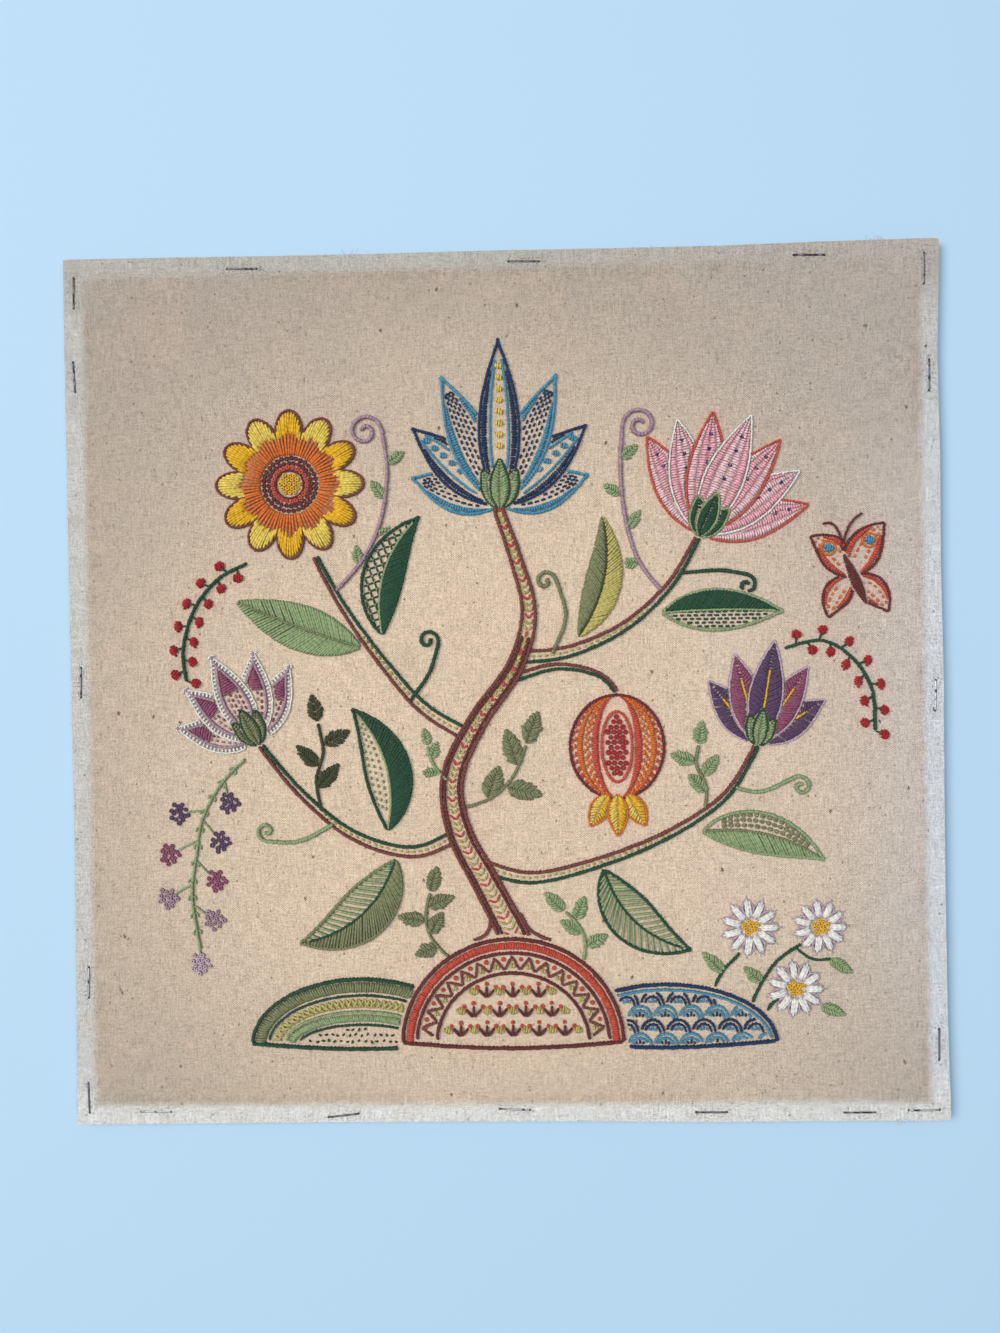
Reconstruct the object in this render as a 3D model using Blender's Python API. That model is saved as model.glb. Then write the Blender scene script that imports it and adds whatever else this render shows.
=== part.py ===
# Wool-embroidered linen panel, lying on its back.
#
# A square of pasteboard carries a square of linen cut flush with it. Office staples hold the two
# together near the edges. The worked masses of the wool embroidery, a flowering tree on three
# hillocks, stand on the linen as low raised solids.
#
# Units are metres. +X is the picture's right, +Y its top, and +Z comes out of its face.
# The origin is on the back, under the middle of the panel.

import math
from collections import namedtuple

import bmesh
import bpy
from mathutils import Matrix, Vector

MM = 0.001

# Driving dimensions
PANEL_SIDE = 355.6 * MM
BOARD_THICKNESS = 3.0 * MM
BOARD_INSET = 0.4 * MM
LINEN_THICKNESS = 1.0 * MM
CONTACT_GAP = 0.3 * MM

STAPLE_CROWN = 12.7 * MM
STAPLE_WIRE_RADIUS = 0.28 * MM
STAPLE_BEND_RADIUS = 0.8 * MM
STAPLE_LEG_END = 1.0 * MM
LEG_HOLE_CLEARANCE = 0.3 * MM

WORK_HEIGHT = 0.5 * MM
WORK_CROWN_RISE = 0.3 * MM
WORK_CROWN_INSET = 1.2 * MM

# Heights that follow from them
LINEN_BOTTOM = BOARD_THICKNESS + CONTACT_GAP
LINEN_TOP = LINEN_BOTTOM + LINEN_THICKNESS
WORK_BOTTOM = LINEN_TOP + CONTACT_GAP
STAPLE_CROWN_AXIS = LINEN_TOP + CONTACT_GAP + STAPLE_WIRE_RADIUS

# How far the cut edge stands outside (+) or inside (-) the square, in mm, at places along each
# side. The places run from -1 at a side's lower or left end to 1 at its other end.
EDGE_PLACES = (-0.97, -0.75, -0.5, -0.25, 0.0, 0.25, 0.5, 0.75, 0.97)
EDGE_BULGE = {
    "bottom": (0.8, 0.5, 0.3, 0.1, 0.1, 0.3, 0.7, 0.4, 0.4),
    "right": (0.6, -0.2, -0.4, -0.3, 0.0, -0.6, -0.3, -0.8, 0.3),
    "top": (0.3, 0.0, -0.4, -0.5, -0.4, -0.7, -0.8, -0.1, 0.1),
    "left": (0.7, 0.5, 0.1, 0.1, 0.3, 0.5, 0.6, 0.8, 0.8),
}
CORNER_RADIUS = {"bottom_right": 1.6, "top_right": 0.6, "top_left": 0.5, "bottom_left": 0.8}
CORNER_STEPS = 3

# Middle of each staple's crown in mm from the panel's middle, and its turn in degrees
StapleRow = namedtuple("StapleRow", "name x y turn")
STAPLES = (
    StapleRow("staple_top_1", -104.4, 172.7, -1.3),
    StapleRow("staple_top_2", 11.0, 172.9, -1.3),
    StapleRow("staple_top_3", 126.3, 172.6, -1.3),
    StapleRow("staple_right_1", 172.1, 166.2, 89.1),
    StapleRow("staple_right_2", 173.6, 123.2, 89.1),
    StapleRow("staple_right_3", 174.5, -6.0, 88.0),
    StapleRow("staple_right_4", 174.1, -147.1, 89.3),
    StapleRow("staple_bottom_1", -145.6, -173.1, 0.0),
    StapleRow("staple_bottom_2", -68.0, -174.9, 6.2),
    StapleRow("staple_bottom_3", 2.3, -172.7, -2.5),
    StapleRow("staple_bottom_4", 82.2, -174.2, 0.0),
    StapleRow("staple_bottom_5", 142.0, -174.5, 0.0),
    StapleRow("staple_bottom_6", 167.8, -173.7, 0.3),
    StapleRow("staple_left_1", -174.2, 164.4, 88.9),
    StapleRow("staple_left_2", -174.6, 130.0, 93.2),
    StapleRow("staple_left_3", -173.9, 4.2, 88.9),
    StapleRow("staple_left_4", -172.8, -119.6, 88.9),
    StapleRow("staple_left_5", -173.5, -167.3, 91.6),
)

# The embroidery's masses, in mm from the panel's middle
GROUND_LINE = -146.0
GROUND_SAG = 2.5
MASS_GAP = 1.0

HillockRow = namedtuple("HillockRow", "name middle half_width height wool")
HILLOCKS = (
    HillockRow("hillock_left", -60.0, 46.0, 28.0, "sage"),
    HillockRow("hillock_middle", 2.0, 46.0, 44.0, "burgundy"),
    HillockRow("hillock_right", 64.0, 46.0, 25.0, "sky_blue"),
)

BandRow = namedtuple("BandRow", "name points start_width end_width")
TRUNK = BandRow(
    "tree",
    ((1, -97.5), (-8, -80), (-19, -58), (-21, -36), (-10, -13), (5, 8), (11, 30), (6, 52), (0, 70)),
    13.0,
    5.0,
)
BRANCHES = (
    BandRow("branch_low_left", ((-19, -60), (-38, -67), (-62, -60), (-83, -43), (-98, -25)), 6.0, 3.0),
    BandRow(
        "branch_low_right",
        ((-12, -72), (10, -78), (38, -72), (66, -61), (89, -46), (101, -28)),
        6.0,
        3.0,
    ),
    BandRow("branch_high_left", ((-14, -20), (-33, -8), (-50, 12), (-64, 32), (-74, 50)), 6.0, 3.0),
    BandRow("branch_high_right", ((6, 12), (27, 14), (50, 24), (68, 40), (78, 56)), 6.0, 3.0),
    BandRow("fruit_stalk", ((6, 4), (22, 8), (38, 5), (45, -1)), 4.0, 2.5),
)

# bend is how far the midrib bows to its left, going from the base to the tip
LeafRow = namedtuple("LeafRow", "name base tip width bend wool")
LEAVES = (
    LeafRow("leaf_low_left", (-45, -70), (-85, -104), 22, 8, "sage"),
    LeafRow("leaf_inner_left", (-48, -58), (-62, -8), 20, -7, "dark_green"),
    LeafRow("leaf_mid_left", (-58, 17), (-110, 37), 20, 1, "light_green"),
    LeafRow("leaf_high_left", (-49, 22), (-33, 70), 18, 7, "dark_green"),
    LeafRow("leaf_high_right", (31, 20), (41, 70), 16, -6, "sage"),
    LeafRow("leaf_mid_right", (65, 29), (114, 29), 18, 1, "dark_green"),
    LeafRow("leaf_low_right", (40, -75), (75, -108), 20, -7, "dark_green"),
    LeafRow("leaf_outer_right", (80, -60), (129, -72), 18, 5, "light_green"),
)

# A fan of petals from one base point: aim and spread are degrees, lengths and width are mm
FanRow = namedtuple("FanRow", "name base aim spread petals side_length middle_length width wool")
FANS = (
    FanRow("palmette_blue", (0, 74), 90, 72, 7, 38, 68, 18, "navy"),
    FanRow("carnation_pink", (81, 61), 66, 52, 7, 45, 52, 16, "pink"),
    FanRow("lotus_mauve", (-101, -21), 118, 52, 5, 34, 40, 15, "mauve"),
    FanRow("iris_purple", (103, -24), 80, 48, 5, 32, 42, 14, "purple"),
)

SUNFLOWER_MIDDLE = (-86, 84)
SUNFLOWER_RADIUS = 31.0
SUNFLOWER_PETALS = 12
SUNFLOWER_PETAL_ROOT = 20.0
SUNFLOWER_HOLE = 12.0
SUNFLOWER_CENTRE = 11.4

POMEGRANATE_MIDDLE = (46, -25)
POMEGRANATE_RADII = (20.0, 22.0)
POMEGRANATE_CROWN = 15.0

DaisyRow = namedtuple("DaisyRow", "name x y radius petals")
DAISIES = (
    DaisyRow("daisy_1", 99, -99, 12.5, 11),
    DaisyRow("daisy_2", 127, -99, 11.5, 11),
    DaisyRow("daisy_3", 117, -124, 12.0, 11),
)

WingRow = namedtuple("WingRow", "tip width bend")
BUTTERFLY_MIDDLE = (142, 42)
BUTTERFLY_WINGS = (
    WingRow((13, 22), 15, 2),
    WingRow((-17, 17), 14, -2),
    WingRow((14, -14), 12, 2),
    WingRow((-10, -16), 12, -2),
)
BUTTERFLY_BODY = ((4, -8), (-3, 8))

# Wool colours as they look on a screen, each channel from 0 to 255
WOOL = {
    "burgundy": (95, 30, 40),
    "bark": (118, 52, 50),
    "coral": (205, 65, 55),
    "orange": (225, 110, 25),
    "gold": (230, 180, 30),
    "pink": (235, 160, 175),
    "mauve": (160, 115, 150),
    "purple": (70, 40, 90),
    "navy": (20, 45, 95),
    "sky_blue": (60, 150, 190),
    "dark_green": (20, 70, 50),
    "sage": (115, 130, 90),
    "light_green": (140, 175, 125),
    "white": (235, 232, 225),
}


# Start from an empty scene
def clear_scene():
    for item in list(bpy.data.objects):
        bpy.data.objects.remove(item, do_unlink=True)


# Materials
def linear(channel):
    value = channel / 255
    if value <= 0.04045:
        return value / 12.92
    return ((value + 0.055) / 1.055) ** 2.4


def make_material(name, screen_colour, roughness, metallic=0.0):
    material = bpy.data.materials.new(name)
    material.use_nodes = True
    shader = material.node_tree.nodes["Principled BSDF"]
    colour = [linear(channel) for channel in screen_colour]
    shader.inputs["Base Color"].default_value = (*colour, 1.0)
    shader.inputs["Roughness"].default_value = roughness
    shader.inputs["Metallic"].default_value = metallic
    material.diffuse_color = (*colour, 1.0)
    return material


def linen_material():
    return make_material("linen", (214, 192, 164), 0.95)


def pasteboard_material():
    return make_material("pasteboard", (150, 140, 126), 0.9)


def staple_material():
    return make_material("staple_wire", (120, 120, 124), 0.4, 1.0)


def wool_material(colour_name):
    found = bpy.data.materials.get("wool_" + colour_name)
    if found:
        return found
    return make_material("wool_" + colour_name, WOOL[colour_name], 0.9)


# Meshes and objects
def link_object(name, data, material):
    item = bpy.data.objects.new(name, data)
    bpy.context.scene.collection.objects.link(item)
    if material:
        item.data.materials.append(material)
    return item


def mesh_from(bm, name):
    bmesh.ops.recalc_face_normals(bm, faces=bm.faces[:])
    mesh = bpy.data.meshes.new(name)
    bm.to_mesh(mesh)
    bm.free()
    return mesh


def extruded_outline(outline, bottom, top):
    # A closed plate between two heights; returns its bmesh and its upper face
    bm = bmesh.new()
    corners = [bm.verts.new((x, y, bottom)) for x, y in outline]
    floor = bm.faces.new(corners)
    raised = bmesh.ops.extrude_face_region(bm, geom=[floor])
    lifted = [part for part in raised["geom"] if isinstance(part, bmesh.types.BMVert)]
    bmesh.ops.translate(bm, verts=lifted, vec=(0, 0, top - bottom))
    upper = [part for part in raised["geom"] if isinstance(part, bmesh.types.BMFace)][0]
    return bm, upper


def hide_as_guide(item):
    item.hide_render = True
    item.display_type = "WIRE"


def add_boolean(item, other, operation):
    step = item.modifiers.new(operation.lower() + "_" + other.name, "BOOLEAN")
    step.operation = operation
    step.solver = "EXACT"
    step.object = other
    hide_as_guide(other)


# The panel's outline
def round_corner(corner, towards_back, towards_front, radius):
    # Points of a small arc from one side to the next
    start = Vector(corner) + radius * (Vector(towards_back) - Vector(corner)).normalized()
    end = Vector(corner) + radius * (Vector(towards_front) - Vector(corner)).normalized()
    points = []
    for step in range(CORNER_STEPS + 1):
        t = step / CORNER_STEPS
        blend = start * (1 - t) ** 2 + Vector(corner) * 2 * t * (1 - t) + end * t**2
        points.append(tuple(blend))
    return points


def side_points(side, half):
    # One side's places from its lower or left end to its other end
    points = []
    for place, bulge in zip(EDGE_PLACES, EDGE_BULGE[side]):
        along = place * half
        out = half + bulge * MM
        points.append(
            {"bottom": (along, -out), "top": (along, out), "left": (-out, along), "right": (out, along)}[side]
        )
    return points


def panel_outline(inset):
    # Anticlockwise from the lower left corner, centred on the origin
    half = PANEL_SIDE / 2
    bottom = side_points("bottom", half)
    right = side_points("right", half)
    top = side_points("top", half)[::-1]
    left = side_points("left", half)[::-1]
    corners = {
        "bottom_right": (right[0][0], bottom[-1][1]),
        "top_right": (right[-1][0], top[0][1]),
        "top_left": (left[0][0], top[-1][1]),
        "bottom_left": (left[-1][0], bottom[0][1]),
    }
    outline = []
    runs = (
        (bottom, "bottom_right", right),
        (right, "top_right", top),
        (top, "top_left", left),
        (left, "bottom_left", bottom),
    )
    for run, name, following in runs:
        outline += run
        outline += round_corner(corners[name], run[-1], following[0], CORNER_RADIUS[name] * MM)
    xs = [x for x, y in outline]
    ys = [y for x, y in outline]
    middle = ((min(xs) + max(xs)) / 2, (min(ys) + max(ys)) / 2)
    shrink = 1 - inset / half
    return [((x - middle[0]) * shrink, (y - middle[1]) * shrink) for x, y in outline]


# Staples
def leg_places():
    # The middles of all the leg holes, with each staple's turn
    places = []
    for row in STAPLES:
        turn = math.radians(row.turn)
        reach = Vector((math.cos(turn), math.sin(turn))) * (STAPLE_CROWN / 2 - STAPLE_WIRE_RADIUS)
        middle = Vector((row.x, row.y)) * MM
        places.append((middle - reach, turn))
        places.append((middle + reach, turn))
    return places


def leg_hole_cutter(name, bottom, top):
    width = 2 * (STAPLE_WIRE_RADIUS + LEG_HOLE_CLEARANCE)
    bm = bmesh.new()
    for place, turn in leg_places():
        block = Matrix.Translation((place.x, place.y, (bottom + top) / 2))
        block @= Matrix.Rotation(turn, 4, "Z")
        block @= Matrix.Diagonal((width, width, top - bottom, 1))
        bmesh.ops.create_cube(bm, size=1, matrix=block)
    return link_object(name, mesh_from(bm, name), None)


def staple_curve():
    # A crown along X and two legs down, as a bent wire
    curve = bpy.data.curves.new("staple_wire", "CURVE")
    curve.dimensions = "3D"
    curve.bevel_depth = STAPLE_WIRE_RADIUS
    curve.bevel_resolution = 1
    curve.use_fill_caps = True
    reach = STAPLE_CROWN / 2 - STAPLE_WIRE_RADIUS
    bend = STAPLE_BEND_RADIUS
    half = [(reach, STAPLE_LEG_END - STAPLE_CROWN_AXIS)]
    for degrees in (0, 30, 60, 90):
        angle = math.radians(degrees)
        half.append((reach - bend + bend * math.cos(angle), -bend + bend * math.sin(angle)))
    route = [(-x, z) for x, z in half] + half[::-1]
    spline = curve.splines.new("POLY")
    spline.points.add(len(route) - 1)
    for point, (x, z) in zip(spline.points, route):
        point.co = (x, 0, z, 1)
    return curve


def add_staples():
    curve = staple_curve()
    curve.materials.append(staple_material())
    for row in STAPLES:
        staple = link_object(row.name, curve, None)
        staple.location = (row.x * MM, row.y * MM, STAPLE_CROWN_AXIS)
        staple.rotation_euler = (0, 0, math.radians(row.turn))


# The board and the linen
def add_board():
    bm, upper = extruded_outline(panel_outline(BOARD_INSET), 0, BOARD_THICKNESS)
    board = link_object("board", mesh_from(bm, "board"), pasteboard_material())
    hole_floor = STAPLE_LEG_END - CONTACT_GAP
    add_boolean(board, leg_hole_cutter("board_holes", hole_floor, BOARD_THICKNESS + MM), "DIFFERENCE")


def add_linen():
    bm, upper = extruded_outline(panel_outline(0), LINEN_BOTTOM, LINEN_TOP)
    linen = link_object("linen", mesh_from(bm, "linen"), linen_material())
    add_boolean(linen, leg_hole_cutter("linen_holes", LINEN_BOTTOM - MM, LINEN_TOP + MM), "DIFFERENCE")


# Outlines of the worked masses, in mm
def smooth_route(points, steps):
    # A curve through all the points, by cubic blending
    route = []
    for index in range(len(points) - 1):
        before = Vector(points[max(index - 1, 0)])
        start = Vector(points[index])
        end = Vector(points[index + 1])
        after = Vector(points[min(index + 2, len(points) - 1)])
        for step in range(steps):
            t = step / steps
            bend = (end - before) * t
            bend += (2 * before - 5 * start + 4 * end - after) * t**2
            bend += (3 * start - before - 3 * end + after) * t**3
            route.append(start + bend / 2)
    route.append(Vector(points[-1]))
    return route


def side_steps(route):
    # The unit vector to the left of the route at each of its points
    sides = []
    for index in range(len(route)):
        ahead = route[min(index + 1, len(route) - 1)] - route[max(index - 1, 0)]
        sides.append(Vector((-ahead.y, ahead.x)).normalized())
    return sides


def band_outline(row):
    route = smooth_route(row.points, 3)
    left = []
    right = []
    for index, (point, side) in enumerate(zip(route, side_steps(route))):
        share = index / (len(route) - 1)
        half = (row.start_width + (row.end_width - row.start_width) * share) / 2
        left.append(point + side * half)
        right.append(point - side * half)
    return right + left[::-1]


def leaf_outline(base, tip, width, bend, steps=9, fullness=0.8):
    base = Vector(base)
    tip = Vector(tip)
    run = tip - base
    across = Vector((-run.y, run.x)).normalized()
    handle = (base + tip) / 2 + across * bend * 2
    rib = []
    for step in range(steps + 1):
        t = step / steps
        rib.append(base * (1 - t) ** 2 + handle * 2 * t * (1 - t) + tip * t**2)
    left = []
    right = []
    for step, (point, side) in enumerate(zip(rib, side_steps(rib))):
        t = step / steps
        half = width / 2 * math.sin(math.pi * t**0.85) ** fullness
        left.append(point + side * half)
        right.append(point - side * half)
    return right + left[1:-1][::-1]


def rosette_outline(middle, radius, root, petals, steps_per_petal=6):
    outline = []
    for step in range(petals * steps_per_petal):
        angle = 2 * math.pi * step / (petals * steps_per_petal)
        reach = root + (radius - root) * abs(math.cos(petals * angle / 2)) ** 0.6
        outline.append(Vector(middle) + reach * Vector((math.cos(angle), math.sin(angle))))
    return outline


def ellipse_outline(middle, radius_x, radius_y, steps):
    outline = []
    for step in range(steps):
        angle = 2 * math.pi * step / steps
        outline.append(Vector(middle) + Vector((radius_x * math.cos(angle), radius_y * math.sin(angle))))
    return outline


def hillock_height(row, x):
    share = (x - row.middle) / row.half_width
    return row.height * math.sqrt(max(0.0, 1 - share**2))


def hillock_outline(row, in_front=None, steps=16):
    # An arch on a ground line that sags a little; one behind another stops short of it
    upper = []
    for step in range(steps + 1):
        x = row.middle - row.half_width * math.cos(math.pi * step / steps)
        height = hillock_height(row, x)
        if not in_front or hillock_height(in_front, x) == 0 or hillock_height(in_front, x) + MASS_GAP < height:
            upper.append(Vector((x, GROUND_LINE + height)))
    if in_front:
        side = -1 if row.middle < in_front.middle else 1
        upper = [point for point in upper if (point.x - in_front.middle) * side > 0]
        shoulder = upper[-1] if side < 0 else upper[0]
        face = []
        for step in range(1, 9):
            height = (shoulder.y - GROUND_LINE) * (1 - step / 8)
            share = math.sqrt(1 - (height / in_front.height) ** 2)
            x = in_front.middle + side * (in_front.half_width * share + MASS_GAP)
            face.append(Vector((x, GROUND_LINE + height)))
        upper = upper + face if side < 0 else face[::-1] + upper
    first, last = upper[0], upper[-1]
    lower = []
    for step in range(1, 8):
        t = step / 8
        sag = GROUND_SAG * math.sin(math.pi * t)
        lower.append(last.lerp(first, t) - Vector((0, sag)))
    return upper + lower


# The worked masses as solids
def raised_mass(name, outline, wool, crown=True):
    # A low plate whose middle stands a little higher than its rim
    points = [point * MM for point in outline]
    bm, upper = extruded_outline(points, WORK_BOTTOM, WORK_BOTTOM + WORK_HEIGHT)
    if crown:
        bmesh.ops.recalc_face_normals(bm, faces=bm.faces[:])
        bmesh.ops.inset_region(bm, faces=[upper], thickness=WORK_CROWN_INSET, use_even_offset=False)
        bmesh.ops.translate(bm, verts=upper.verts[:], vec=(0, 0, WORK_CROWN_RISE))
    return link_object(name, mesh_from(bm, name), wool_material(wool))


def united_masses(name, outlines, wool):
    # One body from shapes that run into each other
    whole = raised_mass(name, outlines[0], wool, crown=False)
    for index, outline in enumerate(outlines[1:], 1):
        guide = raised_mass(name + "_guide_" + str(index), outline, wool, crown=False)
        add_boolean(whole, guide, "UNION")
    return whole


def add_hillocks():
    left, middle, right = HILLOCKS
    raised_mass(left.name, hillock_outline(left, middle), left.wool)
    raised_mass(middle.name, hillock_outline(middle), middle.wool)
    raised_mass(right.name, hillock_outline(right, middle), right.wool)


def add_tree():
    united_masses(TRUNK.name, [band_outline(row) for row in (TRUNK, *BRANCHES)], "bark")


def add_leaves():
    for row in LEAVES:
        raised_mass(row.name, leaf_outline(row.base, row.tip, row.width, row.bend), row.wool)


def fan_petals(row):
    petals = []
    for index in range(row.petals):
        share = 2 * index / (row.petals - 1) - 1
        angle = math.radians(row.aim + share * row.spread)
        length = row.middle_length + (row.side_length - row.middle_length) * abs(share)
        tip = Vector(row.base) + length * Vector((math.cos(angle), math.sin(angle)))
        petals.append(leaf_outline(row.base, tip, row.width, 0, steps=7, fullness=0.9))
    return petals


def add_fans():
    for row in FANS:
        united_masses(row.name, fan_petals(row), row.wool)


def add_sunflower():
    petals = raised_mass(
        "sunflower_petals",
        rosette_outline(SUNFLOWER_MIDDLE, SUNFLOWER_RADIUS, SUNFLOWER_PETAL_ROOT, SUNFLOWER_PETALS),
        "gold",
        crown=False,
    )
    hole = ellipse_outline(SUNFLOWER_MIDDLE, SUNFLOWER_HOLE, SUNFLOWER_HOLE, 24)
    bm, upper = extruded_outline([point * MM for point in hole], WORK_BOTTOM - MM, WORK_BOTTOM + 2 * MM)
    add_boolean(petals, link_object("sunflower_hole", mesh_from(bm, "sunflower_hole"), None), "DIFFERENCE")
    centre = ellipse_outline(SUNFLOWER_MIDDLE, SUNFLOWER_CENTRE, SUNFLOWER_CENTRE, 24)
    raised_mass("sunflower_centre", centre, "burgundy")


def add_pomegranate():
    # A round fruit with a crown of three points below it
    x, y = POMEGRANATE_MIDDLE
    radius_x, radius_y = POMEGRANATE_RADII
    shapes = [ellipse_outline(POMEGRANATE_MIDDLE, radius_x, radius_y, 28)]
    for sideways in (-8, 0, 8):
        root = (x + sideways * 0.5, y - radius_y + 5)
        tip = (x + sideways * 1.4, y - radius_y - POMEGRANATE_CROWN + abs(sideways) * 0.5)
        shapes.append(leaf_outline(root, tip, 9, 0, steps=6))
    united_masses("pomegranate", shapes, "orange")


def add_daisies():
    for row in DAISIES:
        raised_mass(
            row.name,
            rosette_outline((row.x, row.y), row.radius, row.radius * 0.55, row.petals, 4),
            "white",
            crown=False,
        )


def add_butterfly():
    middle = Vector(BUTTERFLY_MIDDLE)
    tail, head = BUTTERFLY_BODY
    shapes = [leaf_outline(middle + Vector(tail) * 1.4, middle + Vector(head) * 1.4, 5, 0, steps=6)]
    for row in BUTTERFLY_WINGS:
        shapes.append(leaf_outline(middle, middle + Vector(row.tip), row.width, row.bend, steps=7))
    united_masses("butterfly", shapes, "coral")


def main():
    clear_scene()
    add_board()
    add_linen()
    add_staples()
    add_hillocks()
    add_tree()
    add_leaves()
    add_fans()
    add_sunflower()
    add_pomegranate()
    add_daisies()
    add_butterfly()


main()
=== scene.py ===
# Crewel embroidery panel: wool stitches on natural linen, held to a pasteboard by office staples.
# Lengths are in mm and angles in degrees, until a finished mesh is turned into metres.

import math
import random

import bmesh
import bpy
import numpy as np
from mathutils import Matrix, Vector, noise


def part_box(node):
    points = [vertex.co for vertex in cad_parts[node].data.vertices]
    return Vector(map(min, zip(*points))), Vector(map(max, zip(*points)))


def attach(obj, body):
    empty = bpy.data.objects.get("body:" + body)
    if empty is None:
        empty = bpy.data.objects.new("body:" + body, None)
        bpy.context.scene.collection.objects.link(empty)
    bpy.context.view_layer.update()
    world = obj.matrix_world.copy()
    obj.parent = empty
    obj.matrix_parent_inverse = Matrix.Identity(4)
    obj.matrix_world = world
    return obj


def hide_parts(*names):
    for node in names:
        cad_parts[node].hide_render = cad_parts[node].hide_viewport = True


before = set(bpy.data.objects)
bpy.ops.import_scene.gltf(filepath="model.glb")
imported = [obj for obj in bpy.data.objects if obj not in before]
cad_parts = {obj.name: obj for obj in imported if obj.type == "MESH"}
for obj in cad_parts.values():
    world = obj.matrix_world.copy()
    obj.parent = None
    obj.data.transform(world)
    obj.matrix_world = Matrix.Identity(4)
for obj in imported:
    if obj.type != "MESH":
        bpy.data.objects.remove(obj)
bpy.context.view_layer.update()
mm = 0.001
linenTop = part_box("linen")[1].z / mm
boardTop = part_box("board")[1].z / mm
print("frame loaded,", len(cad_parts), "nodes")


# Camera and light, as the photograph was taken: straight on, a hair from the right
camera = {"lens": 27.0, "place": (9.2, 10.1, 411.9), "turn": (-0.28, 1.44, -0.87)}
lamps = {
    "keyLight": {"place": (-2.1, 0.6, 2.6), "size": 1.8, "power": 87.0, "colour": (1.0, 0.97, 0.92)},
    "fillLight": {"place": (0.3, 0.1, 1.5), "size": 1.2, "power": 9.0, "colour": (0.84, 0.92, 1.0)},
}
sky = {"colour": (0.86, 0.93, 1.0), "strength": 0.28}
floor = {"side": 4.0, "drop": 0.3, "paint": (183, 213, 236)}


def placedObject(name, data):
    item = bpy.data.objects.new(name, data)
    bpy.context.scene.collection.objects.link(item)
    return item


def setUpView():
    eye = bpy.data.cameras.new("camera")
    eye.lens = camera["lens"]
    eye.sensor_width = 36.0
    eye.clip_start = 0.01
    item = placedObject("camera", eye)
    item.location = Vector(camera["place"]) * mm
    item.rotation_euler = [math.radians(angle) for angle in camera["turn"]]
    bpy.context.scene.camera = item
    for name, row in lamps.items():
        lamp = bpy.data.lights.new(name, "AREA")
        lamp.size = row["size"]
        lamp.energy = row["power"]
        lamp.color = row["colour"]
        item = placedObject(name, lamp)
        item.location = row["place"]
        item.rotation_euler = (-Vector(row["place"])).to_track_quat("-Z", "Y").to_euler()
    world = bpy.data.worlds.new("sky")
    world.use_nodes = True
    background = world.node_tree.nodes["Background"]
    background.inputs["Color"].default_value = (*sky["colour"], 1)
    background.inputs["Strength"].default_value = sky["strength"]
    bpy.context.scene.world = world
    bpy.context.scene.view_settings.view_transform = "Standard"


# Shader sums in Python: a Signal is a socket, and sums of signals and numbers add Math nodes
class Signal:
    def __init__(self, tree, socket=None):
        self.tree = tree
        self.socket = socket

    def node(self, kind, settings=None, values=None, out=0):
        made = self.tree.nodes.new(kind)
        for name, value in (settings or {}).items():
            setattr(made, name, value)
        for name, value in (values or {}).items():
            if isinstance(value, Signal):
                self.tree.links.new(value.socket, made.inputs[name])
            else:
                made.inputs[name].default_value = (*value, 1) if isinstance(value, tuple) else value
        return Signal(self.tree, made.outputs[out])

    def ramp(self, low, high):
        # 0 up to low, 1 from high, and a soft step between
        values = {"Value": self, "From Min": low, "From Max": high}
        return self.node("ShaderNodeMapRange", {"interpolation_type": "SMOOTHSTEP"}, values)

    def split(self):
        parts = self.tree.nodes.new("ShaderNodeSeparateXYZ")
        self.tree.links.new(self.socket, parts.inputs[0])
        return [Signal(self.tree, output) for output in parts.outputs]

    def objectPlace(self, axes):
        # The first axes of a piece's own place, in mm
        return [part * 1000.0 for part in self.node("ShaderNodeTexCoord", out=3).split()[:axes]]

    def place(self, x, y, z=0.0):
        return self.node("ShaderNodeCombineXYZ", None, {0: x, 1: y, 2: z})

    def clouds(self, place, detail=2.0, scale=1.0):
        # Soft noise from 0 to 1, with 0.5 in the middle
        values = {"Vector": place, "Scale": scale, "Detail": detail, "Roughness": 0.55}
        return self.node("ShaderNodeTexNoise", None, values)

    def mix(self, share, first, second):
        settings = {"data_type": "RGBA", "blend_type": "MIX", "clamp_factor": True}
        return self.node("ShaderNodeMix", settings, {0: share, 6: first, 7: second}, 2)

    def times(self, factor):
        # This colour or place with all its parts scaled
        return self.node("ShaderNodeVectorMath", {"operation": "SCALE"}, {0: self, "Scale": factor})

    def feed(self, shader, name):
        self.tree.links.new(self.socket, shader.inputs[name])

    def bump(self, shader, strength, depth):
        values = {"Strength": strength, "Distance": depth * mm, "Height": self}
        self.node("ShaderNodeBump", None, values).feed(shader, "Normal")


def teach(name, operation, turned=False):
    # Gives a Signal an operator or a function that is one Math node
    def apply(self, *others):
        values = (*others, self) if turned else (self, *others)
        return self.node("ShaderNodeMath", {"operation": operation}, dict(enumerate(values)))

    setattr(Signal, name, apply)


for word, operation in (("add", "ADD"), ("sub", "SUBTRACT"), ("mul", "MULTIPLY"), ("truediv", "DIVIDE")):
    teach(f"__{word}__", operation)
    teach(f"__r{word}__", operation, True)
for word, operation in (("sine", "SINE"), ("size", "ABSOLUTE"), ("floor", "FLOOR"), ("fraction", "FRACT")):
    teach(word, operation)
teach("lesser", "MINIMUM")


def paint(red, green, blue):
    # A colour as it looks on a screen, from 0 to 255 a channel, as the light it sends back
    shares = (value / 255 for value in (red, green, blue))
    return tuple(share / 12.92 if share <= 0.04045 else ((share + 0.055) / 1.055) ** 2.4 for share in shares)


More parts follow.
